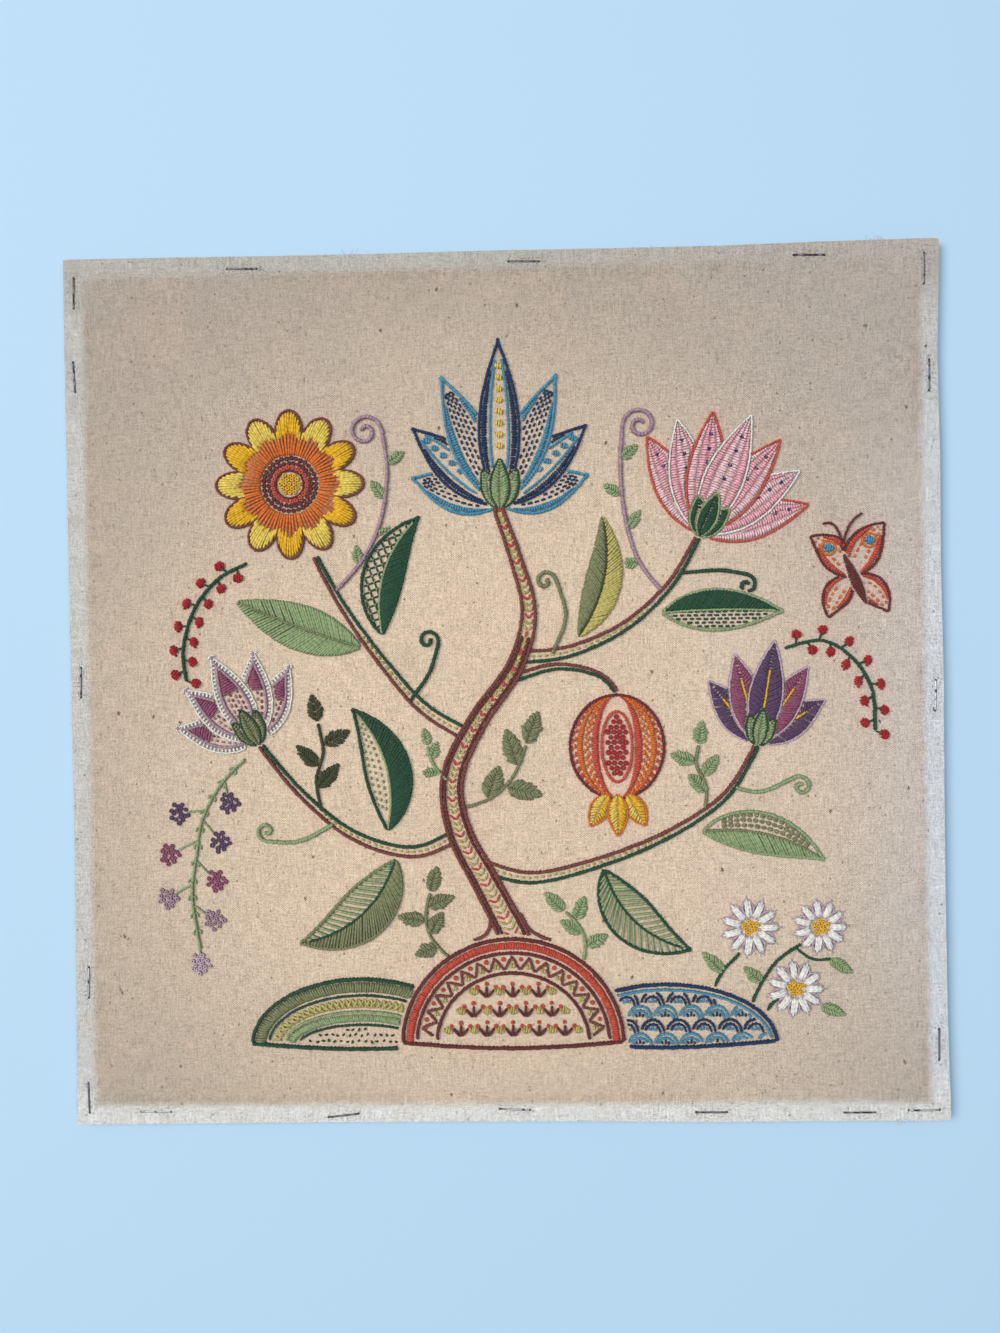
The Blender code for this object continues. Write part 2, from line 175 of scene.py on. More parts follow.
def newMaterial(name, roughness, sheen=0.0, metallic=0.0, colour=None):
    material = bpy.data.materials.new(name)
    material.use_nodes = True
    shader = material.node_tree.nodes["Principled BSDF"]
    values = {"Roughness": roughness, "Metallic": metallic, "Sheen Weight": sheen, "Sheen Roughness": 0.5}
    if colour:
        values["Base Color"] = (*paint(*colour), 1)
    for socket, value in values.items():
        shader.inputs[socket].default_value = value
    return material, shader, Signal(material.node_tree)


# Wool colours as they look on a screen
wools = {
    "burgundy": (112, 46, 44),
    "bark": (132, 70, 60),
    "coral": (214, 80, 60),
    "red": (184, 22, 34),
    "orange": (230, 118, 36),
    "gold": (242, 186, 24),
    "lemon": (240, 210, 92),
    "pink": (248, 180, 192),
    "palePink": (250, 206, 212),
    "mauve": (180, 144, 162),
    "paleMauve": (204, 176, 194),
    "plum": (156, 80, 112),
    "purple": (96, 66, 104),
    "navy": (20, 54, 98),
    "skyBlue": (72, 154, 188),
    "darkGreen": (34, 80, 54),
    "olive": (70, 74, 44),
    "lime": (200, 186, 104),
    "sage": (134, 138, 96),
    "lightGreen": (152, 172, 122),
    "white": (242, 238, 230),
    "darkHair": (84, 70, 60),
    "linenYarn": (214, 200, 180),
}
wool = {
    "atlasLength": 24.0,
    "atlasRows": 12,
    "twistPitch": 1.9,
    "twistShade": 0.2,
    "toneSpread": 1.0,
    "fuzzShade": 0.4,
    # how strong the painted shade in the grooves between strands is
    "grooveShade": 0.8,
    "roughness": 0.92,
    "sheen": 0.1,
    "bumpDepth": 0.12,
}
woolMade = {}


def woolMaterial(name):
    # Two-ply wool on the yarn's own map: u is the length along it, v is its way round in rows
    if name in woolMade:
        return woolMade[name]
    material, shader, nodes = newMaterial("wool_" + name, wool["roughness"], wool["sheen"])
    base = paint(*wools[name])
    u, v = nodes.node("ShaderNodeUVMap", {"uv_map": "OFBake"}).split()[:2]
    along = u * wool["atlasLength"]
    around = (v * wool["atlasRows"]).fraction()
    twist = ((along / wool["twistPitch"] + around) * (2 * math.pi)).sine() * 0.5 + 0.5
    tone = nodes.clouds(nodes.place(along * 0.35, v * 40.0, 3.0), 3.0)
    fuzz = nodes.clouds(nodes.place(along * 3.5, around * 9.0, v * 31.0))
    # The twist darkens the colour between the plies: painted shade; the fuzz and the tone vary it at random
    shade = 1 - twist * wool["twistShade"] - (fuzz - 0.35) * wool["fuzzShade"]
    shade = shade + (tone - 0.5) * wool["toneSpread"]
    grey = sum(base) / 3
    worn = tuple(channel * 0.9 + grey * 0.1 + 0.008 for channel in base)
    colour = nodes.mix((tone - 0.45) * 2.0, base, worn)
    # Down the yarn's sides the colour is painted deeper and darker: painted shade in the grooves between
    # strands
    grooveShadeColour = tuple(0.42 * channel ** 1.3 for channel in base)
    below = ((around - 0.5).size() * 2).ramp(0.08, 0.48)
    nodes.mix(below * wool["grooveShade"], colour, grooveShadeColour).times(shade).feed(shader, "Base Color")
    (twist * 0.6 + fuzz * 0.5).bump(shader, 0.8, wool["bumpDepth"])
    woolMade[name] = material
    return material


# Yarn shapes, rolled up from a flat grid; each corner keeps its place on the grid for the map
strandSides = 6
knotSides = (9, 5)
longFrom = 4.2       # mm, from where a stitch gets the finer strand
longestStitch = 20.0
stitchFoot = -0.45   # mm, how far below the linen's face a stitch ends
goldenAngle = 137.5  # degrees, a turn that spreads places evenly over a disc


def rolledShape(cells, placeOf, capped):
    bm = bmesh.new()
    grid = bm.loops.layers.uv.new("OFBake")
    bmesh.ops.create_grid(bm, x_segments=cells[0], y_segments=cells[1], size=0.5, calc_uvs=True)
    for face in bm.faces:
        for corner in face.loops:
            corner[grid].uv = (corner.vert.co.x + 0.5, corner.vert.co.y + 0.5)
    for vert in bm.verts:
        vert.co = placeOf(vert.co.x + 0.5, vert.co.y + 0.5)
    bmesh.ops.remove_doubles(bm, verts=bm.verts, dist=1e-4)
    if capped:
        rims = [edge for edge in bm.edges if edge.is_boundary]
        for cap in bmesh.ops.holes_fill(bm, edges=rims, sides=0)["faces"]:
            for corner in cap.loops:
                place = corner.vert.co
                corner[grid].uv = (round(place.x) + 0.01 * place.y, 0.5 + 0.6 * place.z)
    bmesh.ops.recalc_face_normals(bm, faces=bm.faces)
    bm.verts.index_update()
    corners = [corner for face in bm.faces for corner in face.loops]
    shape = {
        "places": np.array([vert.co[:] for vert in bm.verts]),
        "corners": np.array([corner.vert.index for corner in corners]),
        "sizes": np.array([len(face.verts) for face in bm.faces]),
        "grid": np.array([corner[grid].uv[:] for corner in corners]),
    }
    bm.free()
    return shape


def tubePlace(x, y):
    # A tube along X from 0 to 1, a unit thick, with its seam underneath
    turn = 2 * math.pi * y - math.pi / 2
    return (x, math.cos(turn) / 2, math.sin(turn) / 2)


def knotPlace(x, y):
    # A small ring with nearly no hole
    turn = 2 * math.pi * x
    tilt = 2 * math.pi * y - math.pi / 2
    reach = 0.3 + 0.2 * math.cos(tilt)
    return (reach * math.cos(turn), reach * math.sin(turn), 0.2 * math.sin(tilt))


shortStrand = rolledShape((4, strandSides), tubePlace, True)
longStrand = rolledShape((6, strandSides), tubePlace, True)
knot = rolledShape(knotSides, knotPlace, False)


# Lines and outlines, as lists of flat points
def curveThrough(points, steps=8):
    places = [Vector(point) for point in points]
    befores = places[:1] + places
    afters = places[2:] + places[-1:]
    route = []
    for before, start, end, after in zip(befores, places, places[1:], afters):
        for step in range(steps):
            t = step / steps
            bend = (end - before) * t
            bend += (2 * before - 5 * start + 4 * end - after) * t**2
            bend += (3 * start - before - 3 * end + after) * t**3
            route.append(start + bend / 2)
    route.append(places[-1])
    return route


def routeLength(route):
    return sum((b - a).length for a, b in zip(route, route[1:]))


def evenly(route, gap=1.0, closed=False, count=None):
    # The route again, with points about this gap apart, or this many steps
    line = route + route[:1] if closed else route
    lengths = [0.0]
    for a, b in zip(line, line[1:]):
        lengths.append(lengths[-1] + (b - a).length)
    steps = count or max(1, round(lengths[-1] / gap))
    points = []
    index = 0
    for step in range(steps if closed else steps + 1):
        wanted = lengths[-1] * step / steps
        while index < len(line) - 2 and lengths[index + 1] < wanted:
            index += 1
        share = (wanted - lengths[index]) / max(1e-9, lengths[index + 1] - lengths[index])
        points.append(line[index].lerp(line[index + 1], min(1.0, share)))
    return points


def leftOf(route, closed=False):
    # The unit vector to the left of the route at each of its points
    line = route[-1:] + route + route[:1] if closed else route[:1] + route + route[-1:]
    aheads = [after - before for before, after in zip(line, line[2:])]
    return [Vector((-ahead.y, ahead.x)).normalized() for ahead in aheads]


def polar(angle, reach=1.0):
    return Vector((math.cos(math.radians(angle)), math.sin(math.radians(angle)))) * reach


def angleOf(way):
    return math.degrees(math.atan2(way.y, way.x))


def turned(way, angle):
    return Matrix.Rotation(math.radians(angle), 2) @ way


def ring(middle, reachX, reachY=None, steps=40, start=0.0, end=360.0):
    # An ellipse, or with other angles an arc of it
    reachY = reachY or reachX
    points = []
    for step in range(steps if abs(end - start) >= 360 else steps + 1):
        way = polar(start + (end - start) * step / steps)
        points.append(Vector(middle) + Vector((way.x * reachX, way.y * reachY)))
    return points


def curl(middle, reach, start, turn, inner=0.22, steps=22):
    # A spiral from the rim to near the middle; turn is in degrees, and its sign gives the way
    shares = [step / steps for step in range(steps + 1)]
    return [Vector(middle) + polar(start + turn * t, reach * (1 - (1 - inner) * t)) for t in shares]


def isInside(point, outline):
    x, y = point
    inside = False
    for before, after in zip(outline[-1:] + outline, outline):
        if (after.y > y) != (before.y > y):
            if x < (before.x - after.x) * (y - after.y) / (before.y - after.y) + after.x:
                inside = not inside
    return inside


def partsOf(start, end, within=(), without=()):
    # What is left of a straight line inside one set of outlines and outside another
    run = end - start
    cuts = [0.0, 1.0]
    for outline in (*within, *without):
        for before, after in zip(outline[-1:] + outline, outline):
            edge = after - before
            cross = run.x * edge.y - run.y * edge.x
            if abs(cross) > 1e-9:
                gap = before - start
                t = (gap.x * edge.y - gap.y * edge.x) / cross
                s = (gap.x * run.y - gap.y * run.x) / cross
                if 0 < t < 1 and 0 <= s <= 1:
                    cuts.append(t)
    cuts.sort()
    kept = []
    for a, b in zip(cuts, cuts[1:]):
        middle = start.lerp(end, (a + b) / 2)
        if all(isInside(middle, o) for o in within) and not any(isInside(middle, o) for o in without):
            if kept and abs(kept[-1][1] - a) < 1e-6:
                kept[-1] = (kept[-1][0], b)
            else:
                kept.append((a, b))
    return [(start.lerp(end, a), start.lerp(end, b)) for a, b in kept]


def spansInside(outline, angle, gap):
    # Where parallel lines at this angle run inside an outline
    along = polar(angle)
    across = Vector((-along.y, along.x))
    flat = [(point.dot(along), point.dot(across)) for point in outline]
    level = min(v for u, v in flat) + gap / 2
    high = max(v for u, v in flat)
    spans = []
    while level < high:
        cuts = []
        for (u0, v0), (u1, v1) in zip(flat, flat[1:] + flat[:1]):
            if (v0 <= level) != (v1 <= level):
                cuts.append(u0 + (u1 - u0) * (level - v0) / (v1 - v0))
        cuts.sort()
        for left, right in zip(cuts[::2], cuts[1::2]):
            spans.append((along * left + across * level, along * right + across * level))
        level += gap
    return spans


def staggered(outline, gap, rise):
    # Places over an outline's box, every other row half a gap further on
    xs = [point.x for point in outline]
    ys = [point.y for point in outline]
    for row in range(round((max(ys) - min(ys)) / rise) + 1):
        for column in range(round((max(xs) - min(xs)) / gap) + 1):
            yield Vector((min(xs) + (column + 0.5 * (row % 2)) * gap, min(ys) + row * rise))


def leafPlan(base, tip, width, bend=0.0, fullness=0.8, steps=48):
    # A leaf or petal as a rib with its half widths; bend bows the rib to its left
    base = Vector(base)
    tip = Vector(tip)
    run = tip - base
    handle = (base + tip) / 2 + Vector((-run.y, run.x)).normalized() * bend * 2
    rib = []
    half = []
    for step in range(steps + 1):
        t = step / steps
        rib.append(base * (1 - t) ** 2 + handle * 2 * t * (1 - t) + tip * t**2)
        half.append(width / 2 * max(0.0, math.sin(math.pi * t**0.85)) ** fullness)
    return {"rib": rib, "sides": leftOf(rib), "half": half}


def bandPlan(points, startWidth, endWidth):
    rib = evenly(curveThrough(points), 1.0)
    last = len(rib) - 1
    half = [(startWidth + (endWidth - startWidth) * index / last) / 2 for index in range(last + 1)]
    return {"rib": rib, "sides": leftOf(rib), "half": half}


def lane(plan, share, inset=0.0, low=0.0, high=1.0):
    # A line along a plan: share is -1 at its right edge and 1 at its left edge
    last = len(plan["rib"]) - 1
    route = []
    for index in range(round(low * last), round(high * last) + 1):
        reach = max(0.0, plan["half"][index] * abs(share) - inset) * (1 if share >= 0 else -1)
        route.append(plan["rib"][index] + plan["sides"][index] * reach)
    return route


def outlineOf(plan, inset=0.0):
    return lane(plan, -1, inset) + lane(plan, 1, inset)[::-1]


# A book of stitches: each goes from one point to another in one wool
class StitchBook:
    def __init__(self, seed):
        self.rows = []
        self.knots = []
        self.covered = []       # outlines that lie in front, where no stitch is set
        self.dice = random.Random(seed)

    def near(self, point, spread=0.13):
        return point + Vector((self.dice.uniform(-spread, spread), self.dice.uniform(-spread, spread)))

    def sew(self, start, end, name, width=0.95, lift=0.0, bow=0.0, least=0.7):
        for a, b in partsOf(start, end, (), self.covered) if self.covered else [(start, end)]:
            length = (b - a).length
            if length < least:
                continue
            pieces = math.ceil(length / longestStitch)
            for step in range(pieces):
                one = self.near(a.lerp(b, step / pieces))
                two = self.near(a.lerp(b, (step + 1) / pieces))
                size = width * self.dice.uniform(0.88, 1.1)
                self.rows.append((*one, *two, size, lift, bow, stitchFoot, stitchFoot, name))

    def knot(self, point, name, size=2.1, lift=0.0):
        if any(isInside(point, outline) for outline in self.covered):
            return
        point = self.near(point, 0.12)
        self.knots.append((*point, size * self.dice.uniform(0.9, 1.1), lift, name))

    def stem(self, route, name, width=1.5, length=3.0, lift=0.2, closed=False):
        # A rope-like line: each stitch slants and lies beside half of the one before
        places = evenly(route, length / 2, closed)
        sides = leftOf(places, closed)
        last = len(places)
        for index in range(last if closed else last - 1):
            ahead = (index + 2) % last if closed else min(index + 2, last - 1)
            start = places[index] - sides[index] * width * 0.28
            end = places[ahead] + sides[ahead] * width * 0.28
            self.sew(start, end, name, width, lift)

    def running(self, route, name, length=2.2, space=1.0, width=0.95, shift=0.0):
        # Stitches in a row with linen between them
        whole = routeLength(route)
        points = evenly(route, 0.25)
        last = len(points) - 1
        step = max(whole / max(1, last), 1e-6)
        at = shift
        while at < whole - 0.6:
            first, second = (min(last, round(end / step)) for end in (at, at + length))
            self.sew(points[first], points[second], name, width)
            at += length + space

    def satin(self, first, second, name, gap=1.08, pad=0.3, width=1.1):
        # Stitches side by side from one line to the other
        steps = max(2, round(max(routeLength(first), routeLength(second)) / gap))
        for start, end in zip(evenly(first, count=steps), evenly(second, count=steps)):
            self.sew(start, end, name, width, pad)

    def halfSatin(self, plan, side, name, low=0.03, high=0.97, slant=0.13, gap=1.08, pad=0.3, reach=1.0):
        # Side by side from a leaf's edge back down to its rib
        rib = evenly(plan["rib"], count=100)
        edge = evenly(lane(plan, side * reach, 0.3), count=100)
        steps = round(routeLength(plan["rib"]) * (high - low) / gap)
        for step in range(steps + 1):
            t = low + (high - low) * step / steps
            back = max(0.0, t - slant * math.sin(math.pi * min(1.0, t)) - 0.01)
            self.sew(edge[round(t * 100)], rib[round(back * 100)], name, 1.12, pad)

    def dot(self, place, name, reach=2.3, angle=80.0, pad=0.5):
        # A round spot of stitches side by side, higher in the middle
        spans = spansInside(ring(place, reach * 0.97, reach * 1.06, 20), angle, 0.95)
        longest = max((b - a).length for a, b in spans)
        for start, end in spans:
            self.sew(start, end, name, 1.02, pad * math.sqrt((end - start).length / longest))

    def chain(self, route, name, length=2.6, width=0.8):
        # Loops in a row
        places = evenly(route, length)
        for start, end in zip(places, places[1:]):
            for bow in (0.55, -0.55):
                self.sew(start, end, name, width, 0.05, bow)

    def loop(self, start, tip, name, fat, width):
        # A single loop, tied down at its tip
        for bow in (fat, -fat):
            self.sew(start, tip, name, width, 0.05, bow)
        ahead = (tip - start).normalized()
        self.sew(tip - ahead * 0.3, tip + ahead * 0.9, name, width, 0.1)

    def seeds(self, outline, name, gap, length):
        # Short stitches scattered over an outline
        for place in staggered(outline, gap, gap):
            place = self.near(place, gap * 0.16)
            way = polar(self.dice.uniform(0, 180))
            ends = (place - way * length / 2, place + way * length / 2)
            if all(isInside(end, outline) for end in ends):
                self.sew(*ends, name, 0.9, 0.0, 0.0, 0.6)

    def crowFoot(self, place, name, knotName, reach=4.7):
        # Three stitches that fan out from one point, with a knot beyond each
        heel = place - Vector((0, reach * 0.55))
        for angle in (48, 90, 132):
            self.sew(heel, heel + polar(angle, reach), name, 1.25, 0.1)
            self.knot(heel + polar(angle, reach + 1.0), knotName, 1.9)

    def trellis(self, outline, pitch, name, angle, width, tie):
        # Long stitches both ways, tied down where they cross
        first = polar(angle, pitch)
        second = polar(angle + 90.0, pitch)
        tieWay = (first + second).normalized() * width * 0.75
        middle = sum(outline, Vector((0, 0))) / len(outline)
        reach = math.ceil(max((point - middle).length for point in outline) / pitch) + 2
        for i in range(-reach, reach + 1):
            for j in range(-reach, reach + 1):
                place = middle + first * i + second * j
                for way, lift in ((first, 0.0), (second, 0.12)):
                    for a, b in partsOf(place, place + way, (outline,)):
                        self.sew(a, b, name, width, lift)
                if isInside(place, outline):
                    self.sew(place - tieWay, place + tieWay, tie, width=0.75, lift=0.35, bow=0.0, least=0.3)

    def knotFill(self, outline, name, gap=2.0, size=2.1, lift=0.0):
        for place in staggered(outline, gap, gap * 0.87):
            if isInside(place, outline):
                self.knot(place, name, size, lift)

    def knotCluster(self, middle, reach, name, count):
        # Knots spread evenly over a disc
        for step in range(count):
            angle = step * goldenAngle + self.dice.uniform(-8, 8)
            self.knot(Vector(middle) + polar(angle, reach * math.sqrt((step + 0.4) / count)), name)

    def rims(self, plan, name, width=1.25, inset=0.8, length=2.8):
        for share in (-1, 1):
            self.stem(lane(plan, share, inset), name, width, length)

    def blanketEdge(self, route, name, length=2.0, gap=1.65):
        # Spaced bars to the left of a thin rim line, as in blanket stitch
        places = evenly(route, gap)
        for place, side in zip(places, leftOf(places)):
            self.sew(place, place + side * length, name, 0.95, 0.1)
        self.stem(route, name, width=0.7, length=gap * 2, lift=0.1)

    def fishbone(self, base, tip, width, name, gap=1.15):
        # Separate strands from the rib out to ragged edges, as on a feather
        plan = leafPlan(base, tip, width, 0.0, 0.7)
        last = len(plan["rib"]) - 1
        steps = max(4, round((plan["rib"][-1] - plan["rib"][0]).length / gap))
        for step in range(steps):
            low = round(last * 0.92 * step / steps)
            high = min(last - 1, low + round(last * 0.2))
            for side in (-1, 1):
                reach = side * plan["half"][high] * self.dice.uniform(0.84, 1.1)
                start = plan["rib"][low] - plan["sides"][low] * side * 0.25
                self.sew(start, plan["rib"][high] + plan["sides"][high] * reach, name, 1.05, 0.25)

    def sideLeaves(self, stem, name, leaves, length, width, atTip=1, spread=52):
        # Feathery leaves on alternate sides of a stem, and one at its end
        places = evenly(stem, count=leaves + 1)
        for index in range(1, leaves + 1 + atTip):
            ahead = (places[index] - places[index - 1]).normalized()
            way = turned(ahead, 0 if index > leaves else spread * (1 if index % 2 else -1))
            size = length * self.dice.uniform(0.85, 1.08)
            self.fishbone(places[index] + way * 0.9, places[index] + way * size, width, name)


# A finished piece: all its stitches as one mesh
redWools = {"burgundy": 0.55, "red": 1.0, "coral": 0.8, "bark": 0.35, "orange": 0.2}
redPlaces = []


def stamped(shape, places, mapU, mapV, firstVertex):
    # One shape repeated: all vertices, corners, face sizes and map places
    count = len(places)
    corners = shape["corners"][None, :] + firstVertex + np.arange(count)[:, None] * len(shape["places"])
    grid = np.dstack([mapU / wool["atlasLength"], mapV / wool["atlasRows"]])
    return places.reshape(-1, 3), corners.ravel(), np.tile(shape["sizes"], count), grid.reshape(-1, 2)


def strandMesh(rows, shape, atlasRow, atlasStart, firstVertex):
    data = np.array([row[:9] for row in rows], dtype=float)
    start = data[:, 0:2]
    run = data[:, 2:4] - start
    width, lift, bow, startDepth, endDepth = data[:, 4:9].T
    length = np.linalg.norm(run, axis=1)
    side = np.stack([-run[:, 1], run[:, 0]], 1) / length[:, None]
    bend = np.minimum(0.5, length * 0.16)
    high = width * 0.4 + lift
    crown = high + np.minimum(0.5, length * 0.07)
    if shape is longStrand:
        level = np.minimum(1.2, length * 0.33)
        at = [bend, level, length / 2, length - level, length - bend]
        z = [high * 0.55, (high + crown) / 2, crown, (high + crown) / 2, high * 0.55]
        fat = np.array([0.6, 0.88, 1.0, 1.0, 1.0, 0.88, 0.6])
    else:
        at = [bend, length / 2, length - bend]
        z = [high * 0.6, crown, high * 0.6]
        fat = np.array([0.55, 0.9, 1.0, 0.9, 0.55])
    at = np.stack([length * 0.0, *at, length], 1)
    z = np.stack([startDepth, *z, endDepth], 1)
    share = at / length[:, None]
    sway = bow[:, None] * 4 * share * (1 - share)
    axis = start[:, None] + run[:, None] * share[..., None] + side[:, None] * sway[..., None]
    last = len(fat) - 1
    ringOf = np.rint(shape["places"][:, 0] * last).astype(int)
    out = shape["places"][:, 1] * fat[ringOf] * width[:, None]
    up = shape["places"][:, 2] * fat[ringOf] * width[:, None] * 0.95
    places = np.dstack([axis[:, ringOf] + side[:, None] * out[..., None], linenTop + z[:, ringOf] + up])
    u = shape["grid"][:, 0]
    cornerRing = np.clip(np.rint(u * last).astype(int), 0, last)
    beyond = (u - cornerRing / last) * 40
    mapU = atlasStart[:, None] + at[:, cornerRing] + beyond
    mapV = atlasRow[:, None] + 0.03 + 0.94 * shape["grid"][:, 1]
    return stamped(shape, places, mapU, mapV, firstVertex)


def knotMesh(rows, atlasRow, atlasStart, turns, firstVertex):
    x, y, size, lift = np.array([row[:4] for row in rows], dtype=float).T[:, :, None]
    across, along, up = knot["places"].T
    cosine = np.cos(turns)[:, None]
    sine = np.sin(turns)[:, None]
    placesX = x + size * (across * cosine - along * sine)
    placesY = y + size * (across * sine + along * cosine)
    places = np.dstack([placesX, placesY, linenTop + lift + size * (0.2 + up * 1.15)])
    mapU = atlasStart[:, None] + knot["grid"][:, 0] * 4.0
    mapV = atlasRow[:, None] + 0.03 + 0.94 * knot["grid"][:, 1]
    return stamped(knot, places, mapU, mapV, firstVertex)


def camelName(node):
    # A piece's name from its node's
    first, *others = node.split("_")
    return first + "".join(word.title() for word in others)


def finishPiece(name, mesh, nodes=()):
    piece = placedObject(name, mesh)
    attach(piece, "root")
    if nodes:
        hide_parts(*nodes)
    return piece


def sewnPiece(name, book, node=None):
    # The piece stands for a node of the part, which it hides
    colours = list(dict.fromkeys(row[-1] for row in book.rows + book.knots))
    spare = wool["atlasRows"] // len(colours)
    dice = np.random.default_rng(len(book.rows) + len(book.knots))
    reachOf = {row: math.dist(row[0:2], row[2:4]) for row in book.rows}
    shorter = [row for row in book.rows if reachOf[row] < longFrom]
    longer = [row for row in book.rows if reachOf[row] >= longFrom]
    parts = []
    slots = []
    vertices = 0
    for rows, shape in ((shorter, shortStrand), (longer, longStrand), (book.knots, knot)):
        if not rows:
            continue
        colour = np.array([colours.index(row[-1]) for row in rows])
        atlasRow = colour + len(colours) * dice.integers(0, spare, len(rows))
        taken = np.array([reachOf.get(row, 4.0) for row in rows])
        atlasStart = 0.5 + dice.random(len(rows)) * (wool["atlasLength"] - 1.0 - taken - 0.5)
        if shape is knot:
            made = knotMesh(rows, atlasRow, atlasStart, dice.random(len(rows)) * 6.28, vertices)
        else:
            made = strandMesh(rows, shape, atlasRow, atlasStart, vertices)
        vertices += len(made[0])
        parts.append(made)
        slots.append(np.repeat(colour, len(shape["sizes"])))
    places, corners, sizes, grid = (np.concatenate(part) for part in zip(*parts))
    mesh = bpy.data.meshes.new(name)
    mesh.vertices.add(len(places))
    mesh.loops.add(len(corners))
    mesh.polygons.add(len(sizes))
    mesh.vertices.foreach_set("co", (places * mm).astype(np.float32).ravel())
    mesh.loops.foreach_set("vertex_index", corners.astype(np.int32))
    mesh.polygons.foreach_set("loop_start", (np.cumsum(sizes) - sizes).astype(np.int32))
    mesh.polygons.foreach_set("material_index", np.concatenate(slots).astype(np.int32))
    mesh.polygons.foreach_set("use_smooth", np.ones(len(sizes), dtype=bool))
    mesh.uv_layers.new(name="OFBake")
    mesh.uv_layers["OFBake"].data.foreach_set("uv", grid.astype(np.float32).ravel())
    mesh.update(calc_edges=True)
    mesh.validate()
    for colour in colours:
        mesh.materials.append(woolMaterial(colour))
    for row in book.rows:
        if row[-1] in redWools:
            redPlaces.append(((row[0] + row[2]) / 2, (row[1] + row[3]) / 2, redWools[row[-1]]))
    for row in book.knots:
        if row[-1] in redWools:
            redPlaces.append((row[0], row[1], redWools[row[-1]] * 0.5))
    print(f"{name}: {len(book.rows)} stitches, {len(book.knots)} knots, {len(sizes)} faces")
    finishPiece(name, mesh, (node,) if node else ())


# The three hillocks
hillocks = {
    "groundLine": -146.0,
    "sag": 2.5,
    "left": {"middle": -60.0, "halfWidth": 46.0, "height": 28.0},
    "middle": {"middle": 2.0, "halfWidth": 46.0, "height": 44.0},
    "right": {"middle": 64.0, "halfWidth": 46.0, "height": 25.0},
    "zigzags": 30,
    "footPitch": 10.6,
    "footRise": 7.9,
    "crosses": 33,
    "scallopWidth": 10.4,
    "scallopRise": 5.6,
}


def archLine(row, inset, low=1.9):
    # The upper edge of a hillock from left to right, down to a height above its feet
    tall = row["height"] - inset
    foot = math.degrees(math.asin(low / tall))
    middle = (row["middle"], hillocks["groundLine"])
    return ring(middle, row["halfWidth"] - inset, tall, 60, 180 - foot, foot)


def footLine(row, inset, low):
    # A sagging line across a hillock, from right to left
    arch = archLine(row, inset, low)
    points = []
    for step in range(25):
        t = step / 24
        points.append(arch[-1].lerp(arch[0], t) - Vector((0, hillocks["sag"] * math.sin(math.pi * t))))
    return points


def archOutline(row, inset, low):
    return archLine(row, inset, low) + footLine(row, inset, low)[1:-1]


def inFront():
    # The middle hillock lies in front of its neighbours and of the trunk's foot
    row = hillocks["middle"]
    wide = {**row, "halfWidth": row["halfWidth"] + 1.2, "height": row["height"] + 1.0}
    return archOutline(wide, 0.0, -6.0)


def sewMiddleHillock():
    book = StitchBook(11)
    row = hillocks["middle"]
    book.stem(archLine(row, 0.9, 1.0), "burgundy")
    book.satin(archLine(row, 2.1), archLine(row, 5.5), "coral", 1.0, 0.35)
    book.stem(footLine(row, 0.9, 1.0), "burgundy")
    for inset in (6.6, 14.8):
        book.stem(archLine(row, inset), "burgundy", 1.3)
    # A zigzag with a padded dot under each peak and a knot over each valley
    count = hillocks["zigzags"]
    upper, lower = (evenly(archLine(row, inset, 3.4), count=count) for inset in (8.0, 13.4))
    for index in range(count):
        start, end = (upper, lower) if index % 2 else (lower, upper)
        book.stem([start[index], end[index + 1]], "bark", width=1.1, length=2.6, lift=0.1)
        if index % 2 and index > 1:
            book.dot(upper[index].lerp(lower[index], 0.72), "lime", reach=1.25, angle=80, pad=0.35)
        elif index:
            book.knot(upper[index].lerp(lower[index], 0.2), "coral", 2.0)
    # Crow's feet in staggered rows, with padded dots between them
    inner = archOutline(row, 15.8, 2.2)
    for level in range(5):
        y = hillocks["groundLine"] + 5.8 + level * hillocks["footRise"]
        for step in range(-5, 6):
            for shift, reach in ((0.0, 3.1), (0.5, 2.0)):
                across = (step + shift + 0.5 * (level % 2)) * hillocks["footPitch"]
                place = Vector((row["middle"] + across, y))
                if not all(isInside(point, inner) for point in ring(place, reach, steps=8)):
                    continue
                if shift:
                    book.dot(place, "lime", reach=1.8, angle=80, pad=0.4)
                else:
                    book.crowFoot(place, "burgundy", "coral")
    sewnPiece("burgundyHillock", book, "hillock_middle")


def sewLeftHillock():
    book = StitchBook(12)
    row = hillocks["left"]
    book.covered.append(inFront())
    book.stem(archLine(row, 0.9, 1.0), "darkGreen")
    book.satin(archLine(row, 1.9), archLine(row, 6.6), "sage")
    book.stem(archLine(row, 7.6), "darkGreen", 1.0)
    # Herringbone between two lines
    count = hillocks["crosses"]
    outer, inner = (evenly(archLine(row, inset), count=count) for inset in (8.9, 12.9))
    for index in range(count):
        book.sew(outer[index], inner[index + 1], "lime", 1.0, 0.0)
        book.sew(inner[index], outer[index + 1], "lime", 1.0, 0.2)
    book.stem(archLine(row, 14.2), "lightGreen", 1.1)
    book.satin(archLine(row, 15.2), archLine(row, 18.6), "lightGreen", 0.93, 0.25)
    book.stem(archLine(row, 19.6), "darkGreen", 1.0)
    book.seeds(archOutline(row, 20.6, 1.6), "olive", 2.5, 1.6)
    book.stem(footLine(row, 0.9, 1.0), "darkGreen")
    sewnPiece("sageHillock", book, "hillock_left")


